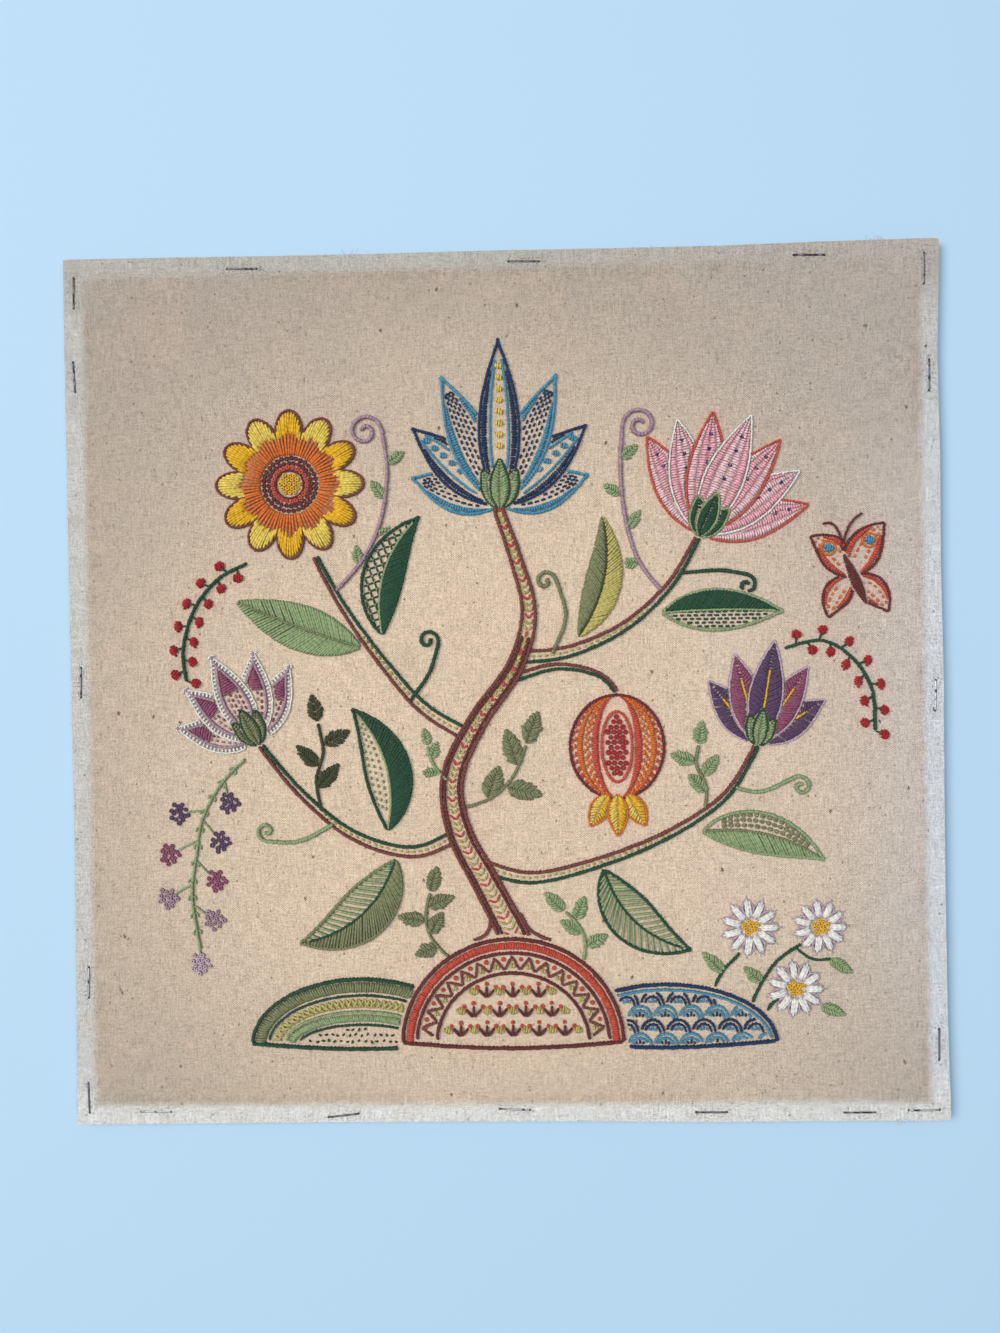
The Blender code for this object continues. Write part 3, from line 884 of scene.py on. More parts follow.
def sewRightHillock():
    book = StitchBook(13)
    row = hillocks["right"]
    book.covered.append(inFront())
    book.stem(archLine(row, 0.9, 1.0), "navy")
    book.stem(archLine(row, 3.1), "skyBlue", 1.1)
    book.stem(footLine(row, 0.9, 1.0), "navy")
    region = archOutline(row, 4.3, 1.9)
    width = hillocks["scallopWidth"]
    # Scallops like fish scales, each row in front of the one above it
    for level in range(4):
        arcWool, heartWool = ("navy", "skyBlue") if level % 2 else ("skyBlue", "navy")
        y = hillocks["groundLine"] - 1.0 + level * hillocks["scallopRise"]
        for step in range(-6, 7):
            foot = Vector((row["middle"] + (step + 0.5 * (level % 2)) * width, y))
            for reach, thickness in ((width / 2 - 0.6, 1.2), (width / 2 - 2.2, 1.05)):
                arc = evenly(ring(foot, reach, reach * 1.12, steps=12, start=172, end=8), 1.6)
                for a, b in zip(arc, arc[1:]):
                    for one, two in partsOf(a, b + (b - a) * 0.6, (region,)):
                        book.sew(one, two, arcWool, thickness, lift=0.1, bow=0.0, least=1.5)
            for shift in (-1.1, 0.0, 1.1):
                start = foot + Vector((shift, 0.4))
                for one, two in partsOf(start, start + Vector((shift * 0.3, 2.6 - abs(shift))), (region,)):
                    book.sew(one, two, heartWool, width=0.95, lift=0.1, bow=0.0, least=1.2)
    sewnPiece("blueHillock", book, "hillock_right")


# The tree
tree = {
    "trunk": ((5, -106), (1, -97.5), (-8, -80), (-19, -58), (-21, -36), (-10, -13), (5, 8), (11, 30), (6, 52),
              (0, 70), (-0.6, 73.4)),
    "trunkWidths": (13.0, 5.0),
    "innerLines": 0.72,
    "branches": (
        ((-19, -60), (-38, -67), (-62, -60), (-83, -43), (-98, -25), (-99.6, -22.6)),
        ((-12, -72), (10, -78), (38, -72), (66, -61), (89, -46), (101, -28), (102.2, -25.4)),
        ((-14, -20), (-33, -8), (-50, 12), (-64, 32), (-74, 50), (-75.8, 54.4)),
        ((6, 12), (27, 14), (50, 24), (68, 40), (78, 56), (79.8, 59.4)),
    ),
    "branchWidths": (6.0, 3.0),
    "stalk": ((6, 4), (22, 8), (38, 5), (45, -1), (45.8, -2.8)),
    "stalkWidths": (4.0, 2.5),
    "roots": (
        ((-6.5, -92), (-6.8, -98), (-9, -101.5), (-14, -103.6)),
        ((5.5, -92), (8.5, -98), (12, -101), (18, -103.6)),
    ),
}


def sewTree():
    book = StitchBook(21)
    book.covered.append(inFront())
    trunk = bandPlan(tree["trunk"], *tree["trunkWidths"])
    for share in (-1, 1):
        book.stem(lane(trunk, share, 0.75), "bark", 1.4, 3.2)
        book.stem(lane(trunk, share, 2.3, 0.0, tree["innerLines"]), "burgundy", 1.15, 3.0)
    # Small open V stitches up the middle
    rib = evenly(trunk["rib"], 2.5)
    sides = leftOf(rib)
    foot, head = tree["trunkWidths"]
    for index in range(len(rib) - 1):
        t = index / (len(rib) - 1)
        reach = (foot * (1 - t) + head * t) / 2 - (3.3 if t < tree["innerLines"] else 1.7)
        for way in (-1, 1):
            start = rib[index + 1] + sides[index + 1] * way * max(0.0, reach)
            book.sew(start, rib[index], "coral" if index % 3 == 2 else "lime", 0.9, 0.0)
    book.covered.append(outlineOf(trunk, 0.4))
    for points in tree["roots"]:
        book.stem(curveThrough(points), "bark", 1.35, 2.6)
    for points in (*tree["branches"], tree["stalk"]):
        isStalk = points is tree["stalk"]
        branch = bandPlan(points, *tree["stalkWidths" if isStalk else "branchWidths"])
        for share, name in ((1, "bark"), (-1, "darkGreen")):
            book.stem(lane(branch, share, 0.7), name, 1.35, 3.0)
        if not isStalk:
            book.running(lane(branch, 0, 0, 0.0, 0.62), "lime", length=2.0, space=0.7, width=0.9)
    sewnPiece("treeStitches", book, "tree")


# The leaves: each half has its own filling, from the base to the tip
leafRows = (
    # node, base, tip, width, bend, left half, right half, rib wool, edge wool
    ("leaf_low_left", (-45, -70), (-85, -104), 22, 8,
     ("satin", "sage"), ("open", "lightGreen"), "darkGreen", "sage"),
    ("leaf_inner_left", (-48, -58), (-62, -8), 20, -7,
     ("seeds", "lightGreen"), ("satin", "darkGreen"), "lightGreen", "darkGreen"),
    ("leaf_mid_left", (-58, 17), (-110, 37), 20, 1,
     ("satin", "lightGreen"), ("satin", "lightGreen"), "sage", None),
    ("leaf_high_left", (-49, 22), (-33, 70), 18, 7,
     ("lattice", "darkGreen"), ("satin", "darkGreen"), "lightGreen", "darkGreen"),
    ("leaf_high_right", (31, 20), (41, 70), 16, -6,
     ("satin", "sage"), ("satin", "lime"), "olive", None),
    ("leaf_mid_right", (65, 29), (114, 29), 18, 1,
     ("satin", "darkGreen"), ("bricks", "darkGreen"), "lightGreen", "lightGreen"),
    ("leaf_low_right", (40, -75), (75, -108), 20, -7,
     ("open", "lightGreen"), ("open", "lightGreen"), "darkGreen", "darkGreen"),
    ("leaf_outer_right", (80, -60), (129, -72), 18, 5,
     ("chains", "sage"), ("satin", "lightGreen"), "sage", "lightGreen"),
)


def fillHalf(book, plan, side, kind, name):
    outline = lane(plan, side, 1.6) + lane(plan, 0.0)[::-1]
    if kind == "satin":
        book.halfSatin(plan, side, name)
    elif kind == "open":
        # Spaced stitches from the edge to the rib, as in fly stitch
        book.halfSatin(plan, side, name, low=0.1, high=0.94, slant=0.14, gap=2.4, pad=0.0, reach=0.96)
    elif kind == "seeds":
        for share in (0.28, 0.52, 0.74):
            route = lane(plan, side * share, 0, 0.12, 0.88)
            book.running(route, name, length=1.5, space=1.3, width=0.95, shift=share * 3)
    elif kind == "lattice":
        book.trellis(outline, 2.9, name, 20.0, 0.85, "lightGreen")
    elif kind == "bricks":
        # Rows of spaced stitches, each row shifted by half a stitch
        length, space = 2.1, 0.7
        angle = angleOf(plan["rib"][-1] - plan["rib"][0])
        for row, span in enumerate(spansInside(outline, angle, 1.5)):
            book.running(list(span), name, length, space, 1.1, 0.2 + (row % 2) * (length + space) / 2)
    elif kind == "chains":
        for share in (0.25, 0.5, 0.74):
            book.chain(lane(plan, side * share, 0, 0.14, 0.86), name)


def sewLeaves():
    for index, (node, *shape, leftHalf, rightHalf, ribWool, edgeWool) in enumerate(leafRows):
        book = StitchBook(31 + index)
        plan = leafPlan(*shape)
        fillHalf(book, plan, 1, *leftHalf)
        fillHalf(book, plan, -1, *rightHalf)
        if edgeWool:
            book.rims(plan, edgeWool)
        book.stem(lane(plan, 0.0, 0, 0.0, 0.93), ribWool, width=0.95, length=2.6, lift=0.4)
        sewnPiece(camelName(node), book, node)


# Petals of the fan-shaped flowers; a petal's share is its place in the fan, from -1 to 1
def bluePetal(book, plan, share):
    isDark = round(abs(share) * 3) % 2 == 0
    outer, inner = ("navy", "skyBlue") if isDark else ("skyBlue", "navy")
    book.rims(plan, outer, 1.15)
    for side in (-1, 1):
        book.satin(lane(plan, side, 1.5, 0.08, 0.92), lane(plan, side * 0.55, 0, 0.08, 0.92), outer)
    if isDark:
        for line in (0.42, -0.42):
            book.stem(lane(plan, line, 0, 0.2, 0.88), inner, 0.95, 2.6)
        for place in evenly(lane(plan, 0.0, 0, 0.36, 0.84), 4.6):
            book.dot(place, "lemon" if share == 0 else inner, reach=1.5, angle=80, pad=0.35)
    else:
        for step, line in enumerate((-0.4, -0.2, 0.0, 0.2, 0.4)):
            route = lane(plan, line, 0, 0.2, 0.88)
            book.running(route, inner, length=2.1, space=0.7, width=1.0, shift=1.4 * (step % 2))


def pinkPetal(book, plan, share):
    isPale = round(abs(share) * 3) % 2
    main, second, rim = ("palePink", "pink", "coral") if isPale else ("pink", "palePink", "white")
    for side in (-1, 1):
        half = lane(plan, side * 0.5, 0, 0.05, 0.95)
        book.satin(lane(plan, side, 0.6, 0.05, 0.95), half, main, 1.05, 0.4)
        book.satin(lane(plan, side * 0.5, 0, 0.1, 0.93), lane(plan, 0.0, 0, 0.1, 0.93), second, 1.05, 0.3)
    for side in (1, -1):
        book.stem(lane(plan, side, 0.1, 0.05, 1.0), rim, width=0.85, length=2.6, lift=0.3)
    along = (plan["rib"][-1] - plan["rib"][0]).normalized()
    across = Vector((-along.y, along.x))
    for place in evenly(lane(plan, 0.0, 0, 0.45, 0.82), 5.5):
        for shift in (-0.45, 0.45):
            start = place + across * shift - along * 0.9
            book.sew(start, start + along * 1.8, "navy", 0.7, 0.75)


def mauvePetal(book, plan, share):
    book.blanketEdge(lane(plan, -1, 0.4, 0.12), "white")
    book.blanketEdge(lane(plan, 1, 0.4, 0.12)[::-1], "white")
    book.rims(plan, "mauve", 1.1, 2.9)
    book.satin(lane(plan, 1, 3.4, 0.58, 0.95), lane(plan, -1, 3.4, 0.58, 0.95), "plum")
    for step, line in enumerate((-0.34, -0.11, 0.11, 0.34)):
        name = "mauve" if step % 2 else "plum"
        route = lane(plan, line, 0, 0.2, 0.56)
        book.running(route, name, length=1.9, space=0.7, width=0.95, shift=0.9 * (step % 2))


def purplePetal(book, plan, share):
    name = "plum" if round(abs(share) * 2) % 2 else "purple"
    for side in (1, -1):
        book.halfSatin(plan, side, name, low=0.05, high=0.97, slant=0.1, gap=1.05, pad=0.35)
    book.rims(plan, "paleMauve", 0.85, 0.3)
    book.stem(lane(plan, 0.0, 0, 0.25, 0.7), "gold", width=0.95, length=2.4, lift=0.5)


# Fan-shaped flowers: petals from one base, the middle one in front, and a cup of three sepals
fans = {
    "bluePalmette": {
        "node": "palmette_blue", "base": (0, 74), "aim": 90, "spread": 72, "petals": 7, "petal": bluePetal,
        "side": 38, "middle": 68, "width": 18, "overlap": 0.4, "cup": (19, "lightGreen", "darkGreen"),
    },
    "pinkCarnation": {
        "node": "carnation_pink", "base": (81, 61), "aim": 66, "spread": 52, "petals": 7, "petal": pinkPetal,
        "side": 45, "middle": 52, "width": 16, "overlap": 0.5, "cup": (18, "darkGreen", "lightGreen"),
    },
    "mauveLotus": {
        "node": "lotus_mauve", "base": (-101, -21), "aim": 118, "petals": 5, "petal": mauvePetal,
        "spread": 52, "side": 34, "middle": 40, "width": 15, "overlap": 0.4, "cup": (15, "sage", "darkGreen"),
    },
    "purpleIris": {
        "node": "iris_purple", "base": (103, -24), "aim": 80, "spread": 48, "petals": 5, "petal": purplePetal,
        "side": 32, "middle": 42, "width": 14, "overlap": 0.4, "cup": (14, "lightGreen", "darkGreen"),
    },
}


def sewCup(book, fan, reach, name, edgeName):
    # Three small sepals over the petals' roots
    base = Vector(fan["base"])
    for angle, size in ((0, 1.0), (26, 0.86), (-26, 0.86)):
        tip = base + polar(fan["aim"] + angle, reach * size)
        plan = leafPlan(base - polar(fan["aim"], 1.5), tip, reach * 0.44)
        for side in (1, -1):
            book.halfSatin(plan, side, name, low=0.06, high=0.96, slant=0.12, gap=1.0, pad=0.35)
        book.rims(plan, edgeName, width=0.9, inset=0.2, length=2.2)
        book.covered.append(outlineOf(plan, -0.5))


def sewFans():
    for index, (name, fan) in enumerate(fans.items()):
        book = StitchBook(41 + index)
        sewCup(book, fan, *fan["cup"])
        last = fan["petals"] - 1
        for share in sorted((2 * petal / last - 1 for petal in range(last + 1)), key=abs):
            length = fan["middle"] + (fan["side"] - fan["middle"]) * abs(share)
            tip = Vector(fan["base"]) + polar(fan["aim"] + share * fan["spread"], length)
            plan = leafPlan(fan["base"], tip, fan["width"], 0, 0.9)
            fan["petal"](book, plan, share)
            book.covered.append(outlineOf(plan, -fan["overlap"]))
        sewnPiece(name, book, fan["node"])


# The sunflower
sunflower = {"middle": (-86, 84), "reach": 31.0, "petals": 12, "rays": 13, "root": 20.0, "hole": 12.0}


def sunflowerReach(angle):
    wave = abs(math.cos(math.radians(sunflower["petals"] * angle / 2))) ** 0.6
    return sunflower["root"] + (sunflower["reach"] - sunflower["root"]) * wave


def sewSunflower():
    book = StitchBook(51)
    middle = Vector(sunflower["middle"])
    root = sunflower["root"]
    hole = sunflower["hole"]
    half = 180 / sunflower["petals"]
    last = sunflower["rays"] - 1
    for petal in range(sunflower["petals"]):
        aim = petal * half * 2
        for ray in range(last + 1):
            share = 2 * ray / last - 1
            aside = share * (half - 1.6)
            angle = aim + aside
            split = root - 0.6 + book.dice.uniform(-0.9, 0.9) + 2.2 * (1 - abs(share))
            if ray % 2 == 0:
                start = middle + polar(angle, hole - 0.2)
                book.sew(start, middle + polar(angle, split), "orange", 1.1, 0.2)
            end = middle + polar(aim + aside * 0.94, sunflowerReach(angle) - 1.0)
            book.sew(middle + polar(angle, split - 1.2), end, "gold" if petal % 2 else "lemon", 1.15, 0.35)
        edge = []
        for ray in range(25):
            angle = aim + (2 * ray / 24 - 1) * half
            edge.append(middle + polar(angle, sunflowerReach(angle) - 0.5))
        book.stem(edge, "bark", width=1.0, length=2.4, lift=0.3)
        valley = [middle + polar(aim + half, reach) for reach in (hole + 0.5, root + 0.4)]
        book.stem(valley, "bark", width=0.8, length=2.2, lift=0.35)
    sewnPiece("sunflowerPetals", book, "sunflower_petals")
    heart = StitchBook(52)
    for reach, name in ((10.8, "burgundy"), (8.8, "burgundy"), (7.0, "coral")):
        count = round(2 * math.pi * reach / 2.0)
        for index in range(count):
            heart.knot(middle + polar(360 * index / count + reach * 9, reach), name, 2.1, 0.1)
    heart.knotFill(ring(middle, 5.0, steps=30), "gold", gap=2.0, size=2.1, lift=0.12)
    heart.stem(ring(middle, 5.8, steps=30), "burgundy", width=0.9, length=2.2, lift=0.2, closed=True)
    sewnPiece("sunflowerHeart", heart, "sunflower_centre")


# The pomegranate
pomegranate = {
    "middle": (46, -25),
    "reach": (20.0, 22.0),
    "crown": 15.0,
    "window": (6.2, 14.5),
    "lanes": (0.36, 0.53, 0.68, 0.82, 0.95),
    "bands": (
        # first lane, satin wool, wool of the lines beside it, their count, first place and spread
        (0, "coral", "orange", 3, 0.7, 3.4),
        (2, "orange", "coral", 2, 0.5, 2.2),
    ),
}


def sewPomegranate():
    book = StitchBook(61)
    middle = Vector(pomegranate["middle"])
    x, y = pomegranate["middle"]
    wide, tall = pomegranate["reach"]
    # The crown below the fruit
    for sideways in (0, -8, 8):
        root = (x + sideways * 0.5, y - tall + 2.5)
        tip = (x + sideways * 1.4, y - tall - pomegranate["crown"] + abs(sideways) * 0.5 + 0.6)
        plan = leafPlan(root, tip, 8.4)
        for side, name in ((1, "gold"), (-1, "lemon")):
            book.halfSatin(plan, side, name, low=0.04, high=0.97, slant=0.16, gap=1.0, pad=0.3)
        book.rims(plan, "orange", width=0.85, inset=0.2, length=2.2)
        book.covered.append(outlineOf(plan, -0.4))
    rim = ring(middle, wide - 0.9, tall - 0.9, 60)
    book.stem(rim, "burgundy", width=1.15, length=2.8, lift=0.25, closed=True)
    # The open window with its seeds
    windowWide, windowTall = pomegranate["window"]
    book.stem(ring(middle, windowWide, windowTall), "coral", width=1.1, length=2.6, lift=0.3, closed=True)
    book.knotFill(ring(middle, windowWide - 1.4, windowTall - 1.6), "red", 2.4, 2.3)
    # Bands from stalk to crown on both sides of it
    for side in (-1, 1):
        lanes = []
        for share in pomegranate["lanes"]:
            reach = wide * share * side
            lanes.append([Vector((x + reach * math.cos(t), y + (tall - 1.2) * math.sin(t)))
                          for t in np.radians(np.linspace(78, -78, 40))])
        for first, name, lineName, count, start, spread in pomegranate["bands"]:
            inner, outer, beyond = lanes[first : first + 3]
            book.satin(inner, outer, name, 1.0, 0.4)
            for step in range(count):
                route = [a.lerp(b, (step + start) / spread) for a, b in zip(outer, beyond)]
                book.running(route, lineName, length=2.3, space=0.8, width=0.95, shift=1.5 * (step % 2))
    sewnPiece("pomegranateFruit", book, "pomegranate")


# The daisies
daisies = {
    "rows": (("daisy_1", 99, -99, 12.5), ("daisy_2", 127, -99, 11.5), ("daisy_3", 117, -124, 12.0)),
    "petals": 11,
    "heart": 3.2,
    "stems": (
        ((84, -123), (88, -116), (94.5, -109.4)),
        ((99, -129.5), (104, -120), (110, -112), (119, -106)),
        ((105, -133), (107.5, -129.5), (110, -128)),
    ),
    "leaves": (((88, -117), (79, -109)), ((103, -121), (96, -115)), ((131, -112), (140, -118)),
               ((127, -131), (137, -135))),
    "branch": ((117.3, -107.4), (121, -110.8), (126, -112.4), (131, -112)),
}


def sewDaisies():
    for index, (node, x, y, reach) in enumerate(daisies["rows"]):
        book = StitchBook(71 + index)
        middle = Vector((x, y))
        for petal in range(daisies["petals"]):
            aim = 360 * petal / daisies["petals"]
            tip = middle + polar(aim, reach - 0.4)
            plan = leafPlan(middle + polar(aim, daisies["heart"]), tip, width=5.4, bend=0, fullness=0.7)
            for share in (-0.72, -0.36, 0.0, 0.36, 0.72):
                short = 0.1 * abs(share)
                route = lane(plan, share, 0, 0.02 + short, 0.97 - short)
                book.sew(route[0], route[-1], "white", 1.05, 0.3 - 0.15 * abs(share))
            book.loop(plan["rib"][0], plan["rib"][-1], "paleMauve", 2.5, 0.6)
        book.knotCluster(middle, daisies["heart"], "gold", 10)
        sewnPiece(camelName(node), book, node)


def sewDaisyStems():
    book = StitchBook(94)
    for points in daisies["stems"]:
        book.stem(curveThrough(points), "darkGreen", 1.15, 2.5)
    for base, tip in daisies["leaves"]:
        book.fishbone(base, tip, 5.6, "lightGreen")
    book.stem(curveThrough(daisies["branch"]), "darkGreen", 1.05, 2.4)
    sewnPiece("daisyStems", book)


# The butterfly
butterfly = {
    "middle": (142, 42),
    "wings": (((13, 22), 15, 2), ((-17, 17), 14, -2), ((14, -14), 12, 2), ((-10, -16), 12, -2)),
    "spotted": 2,
    "body": ((4, -8), (-3, 8)),
    "feelers": (((-4, 11), (-3, 17), (0, 23), (4, 26)), ((-4.4, 11), (-5, 17), (-8, 22), (-12, 22))),
}


def sewButterfly():
    book = StitchBook(81)
    middle = Vector(butterfly["middle"])
    tail, head = (middle + Vector(end) * 1.35 for end in butterfly["body"])
    body = leafPlan(tail, head, 5)
    book.satin(lane(body, 1, 0.2), lane(body, -1, 0.2), "burgundy", 1.0, 0.6)
    for points in butterfly["feelers"]:
        feeler = [middle + point for point in curveThrough(points)]
        book.stem(feeler, "burgundy", width=0.9, length=2.0, lift=0.6)
    book.covered.append(outlineOf(body, -0.4))
    for index, (tip, width, bend) in enumerate(butterfly["wings"]):
        plan = leafPlan(middle, middle + Vector(tip), width, bend)
        book.rims(plan, "burgundy", width=0.95, inset=0.5, length=2.4)
        for side in (-1, 1):
            book.satin(lane(plan, side, 1.1, 0.12, 0.97), lane(plan, side * 0.5, 0, 0.12, 0.97), "coral")
        if index < butterfly["spotted"]:
            place = plan["rib"][31]
            book.dot(place, "skyBlue", 1.9)
            book.stem(ring(place, 3.0, steps=20), "orange", width=0.8, length=1.8, lift=0.1, closed=True)
        for line, shift in ((0.28, 0.0), (-0.28, 1.2)):
            book.running(lane(plan, line, 0, 0.3, 0.9), "orange", 1.8, 0.8, 0.95, shift)
        book.covered.append(outlineOf(plan, -0.3))
    sewnPiece("butterflyWings", book, "butterfly")


# Sprigs too fine to be solids
heather = {
    "stem": ((-106, -28), (-116, -38), (-124, -52), (-127, -68), (-129, -84), (-126, -106)),
    "heads": (
        (-113, -46, "purple"), (-134, -50, "purple"), (-117, -62, "purple"), (-138, -67, "plum"),
        (-119, -78, "plum"), (-139, -85, "mauve"), (-120, -94, "mauve"), (-126, -112, "paleMauve"),
    ),
    "reach": 4.2,
    "knots": 16,
}
sprays = {
    "stems": (
        ((-104, 52), (-116, 46), (-126, 34), (-131, 18), (-130, 4)),
        ((114, 14), (129, 17), (141, 10), (149, -3), (150, -20)),
    ),
    "berries": 13,
}
sprigs = (
    # stem, stem wool, leaf wool, side leaves, their length and width, a leaf at the tip, spread
    (((-24, -110), (-31, -102), (-33, -93), (-31, -84)), "sage", "sage", 4, 12.0, 6.6, 1, 66),
    (((31, -112), (32, -104), (29, -97), (24, -92)), "lightGreen", "lightGreen", 3, 11.0, 6.2, 1, -52),
    (((-16, -49), (-5, -45), (4, -36), (9, -24)), "sage", "sage", 3, 17.0, 8.4),
    (((-23, -38), (-27, -34), (-30, -29), (-31, -24)), "lightGreen", "lightGreen", 2, 8.0, 4.8),
    (((81, -51), (82, -42), (78, -33), (79, -25)), "sage", "lightGreen", 3, 12.0, 6.4),
    (((-75, -50), (-77, -37), (-74, -26), (-76, -14)), "olive", "olive", 3, 13.0, 6.8, 1, -52),
)
tendrils = (
    # points of the line, then its curl: reach, turn in degrees; wool
    (((-38, -5), (-30, 6), (-26, 18)), 4.6, 430, "darkGreen"),
    (((20, 13), (26, 28), (22, 44)), 4.4, 420, "sage"),
    (((72, 45), (88, 46), (100, 44)), 4.2, -430, "darkGreen"),
    (((-70, -55), (-84, -62), (-98, -62)), 4.2, -420, "lightGreen"),
    (((93, -42), (104, -44), (118, -38)), 4.4, -430, "lightGreen"),
    (((-68, 40), (-57, 52), (-49, 68), (-46, 88), (-48, 106)), 7.0, 520, "mauve"),
    (((65, 38), (56, 50), (51, 66), (49, 86), (50, 106)), 7.0, -520, "mauve"),
)


def sewHeather():
    book = StitchBook(91)
    stem = curveThrough(heather["stem"])
    book.stem(stem, "lightGreen", 1.15, 2.6)
    places = evenly(stem, count=60)
    for x, y, name in heather["heads"]:
        head = Vector((x, y))
        foot = min(places, key=lambda place: (place - head - Vector((0, 7))).length)
        book.stem([foot, foot.lerp(head, 0.7)], "lightGreen", width=0.8, length=2.4, lift=0.1)
    for index in range(4, 58, 5):
        start = places[index]
        ahead = (places[index + 1] - start).normalized()
        for angle in (48, -48):
            way = turned(ahead, angle)
            book.sew(start, start + way * 2.9, "lightGreen", 0.75, 0.1)
            book.sew(start + way * 1.2, start + way * 2.4 + ahead * 1.2, "lightGreen", 0.7, 0.1)
    for x, y, name in heather["heads"]:
        book.knotCluster((x, y), heather["reach"], name, heather["knots"])
    sewnPiece("heatherSprig", book)


def sewSprays():
    book = StitchBook(92)
    for points in sprays["stems"]:
        stem = curveThrough(points)
        book.stem(stem, "darkGreen", 1.3, 2.8)
        places = evenly(stem, count=sprays["berries"])
        sides = leftOf(places)
        for index in range(1, len(places)):
            side = sides[index] if index % 2 else -sides[index]
            ahead = (places[index] - places[index - 1]).normalized()
            head = places[index] + side * 3.9 + ahead * 1.4
            book.sew(places[index], head, "darkGreen", 0.9, 0.1)
            book.dot(head, "red", reach=2.1, angle=75 + index * 13, pad=0.55)
    sewnPiece("berrySprays", book)


def sewSprigs():
    book = StitchBook(95)
    for points, stemWool, *leaves in sprigs:
        stem = curveThrough(points)
        book.stem(stem, stemWool, 1.25, 2.4)
        book.sideLeaves(stem, *leaves)
    sewnPiece("leafySprigs", book)


def sewTendrils():
    book = StitchBook(93)
    for row in leafRows:
        book.covered.append(outlineOf(leafPlan(*row[1:5]), -0.6))
    for points, reach, turn, name in tendrils:
        route = curveThrough(points)
        facing = angleOf((route[-1] - route[-2]).normalized())
        way = 90 if turn > 0 else -90
        middle = route[-1] + polar(facing + way, reach)
        book.stem(route[:-1] + curl(middle, reach, facing - way, turn), name, 1.5, 2.6)
        if name == "mauve":
            book.sideLeaves(route, "lightGreen", leaves=4, length=9.5, width=5.2, atTip=0)
    sewnPiece("tendrils", book)


# The linen
panelHalf = 178.0        # from the middle to the edges, as the looks of linen and board count it
linen = {
    "cells": 150,
    "side": 355.6,
    "places": (-0.97, -0.75, -0.5, -0.25, 0.0, 0.25, 0.5, 0.75, 0.97),
    "bulges": {
        "bottom": (0.8, 0.5, 0.3, 0.1, 0.1, 0.3, 0.7, 0.4, 0.4),
        "right": (0.6, -0.2, -0.4, -0.3, 0.0, -0.6, -0.3, -0.8, 0.3),
        "top": (0.3, 0.0, -0.4, -0.5, -0.4, -0.7, -0.8, -0.1, 0.1),
        "left": (0.7, 0.5, 0.1, 0.1, 0.3, 0.5, 0.6, 0.8, 0.8),
    },
    "corners": {(1, -1): 1.6, (1, 1): 0.6, (-1, 1): 0.5, (-1, -1): 0.8},
    "lieGap": 0.05,
    "wave": 0.14,
    "waveLength": 42.0,
    "rippleLength": 9.0,
    "haloReach": 2.1,
    "bandWidth": 7.0,
    "warpPitch": 0.53,
    "weftPitch": 0.454,
    "sheen": 0.12,
    "sootReach": 2.8,
    # Colours as they look on a screen
    "warm": (216, 192, 166),
    "aged": (170, 157, 144),
    "pink": (206, 176, 155),
    "clean": (197, 195, 190),
    "cleanRight": (208, 212, 218),
    "cleanLitFoot": (219, 219, 217),
    "cleanShadedHead": (182, 181, 174),
    "cool": (206, 200, 198),
    "grime": (156, 134, 112),
    "dye": (226, 164, 148),
    "husk": (92, 68, 48),
    "soot": (74, 70, 68),
    # Bits of husk: how far apart, how large, how dark
    "flecks": ((11.0, 0.8, 0.9), (4.4, 0.5, 0.78), (2.6, 0.36, 0.75)),
}


def linenEdge(side, at):
    return float(np.interp(at, linen["places"], linen["bulges"][side]))


def linenPlace(u, v):
    # A grid place from -1 to 1 both ways, put on the panel's uneven outline
    half = linen["side"] / 2
    x = half * u + (linenEdge("right", v) if u > 0 else -linenEdge("left", v)) * abs(u) ** 8
    y = half * v + (linenEdge("top", u) if v > 0 else -linenEdge("bottom", u)) * abs(v) ** 8
    rounding = linen["corners"].get((round(u, 3), round(v, 3)), 0.0) * 0.29
    return Vector((x - rounding * (1 if u > 0 else -1), y - rounding * (1 if v > 0 else -1)))


def linenHeight(x, y):
    far = linen["waveLength"]
    near = linen["rippleLength"]
    wave = noise.noise((x / far, y / far, 1.7)) * linen["wave"]
    wave += noise.noise((x / near, y / near, 5.1)) * linen["wave"] * 0.35
    return linenTop + wave


def dyeHalo(points):
    # How much red dye has run into the cloth at each point, from 0 to 1
    places = np.array(redPlaces)
    strength = np.zeros(len(points))
    for start in range(0, len(points), 500):
        part = points[start : start + 500]
        far = (part[:, None, 0] - places[None, :, 0]) ** 2 + (part[:, None, 1] - places[None, :, 1]) ** 2
        shares = np.exp(-far / (2 * linen["haloReach"] ** 2))
        strength[start : start + 500] = (shares * places[:, 2]).sum(1)
    return 1 - np.exp(-strength * 0.16)


def distanceTo(spot, start, end):
    share = (spot - start).dot(end - start) / (end - start).length_squared
    return (spot - start.lerp(end, min(1.0, max(0.0, share)))).length


def nearStaple(x, y):
    # 1 on a staple's crown, and less away from it
    nearest = 99.0
    for name, middleX, middleY, turn in staples["rows"]:
        if abs(x - middleX) + abs(y - middleY) < 20:
            way = polar(turn, staples["crown"] / 2)
            middle = Vector((middleX, middleY))
            nearest = min(nearest, distanceTo(Vector((x, y)), middle - way, middle + way))
    return math.exp(-((nearest / linen["sootReach"]) ** 2))


def meshOf(bm, name):
    mesh = bpy.data.meshes.new(name)
    bm.to_mesh(mesh)
    bm.free()
    return mesh


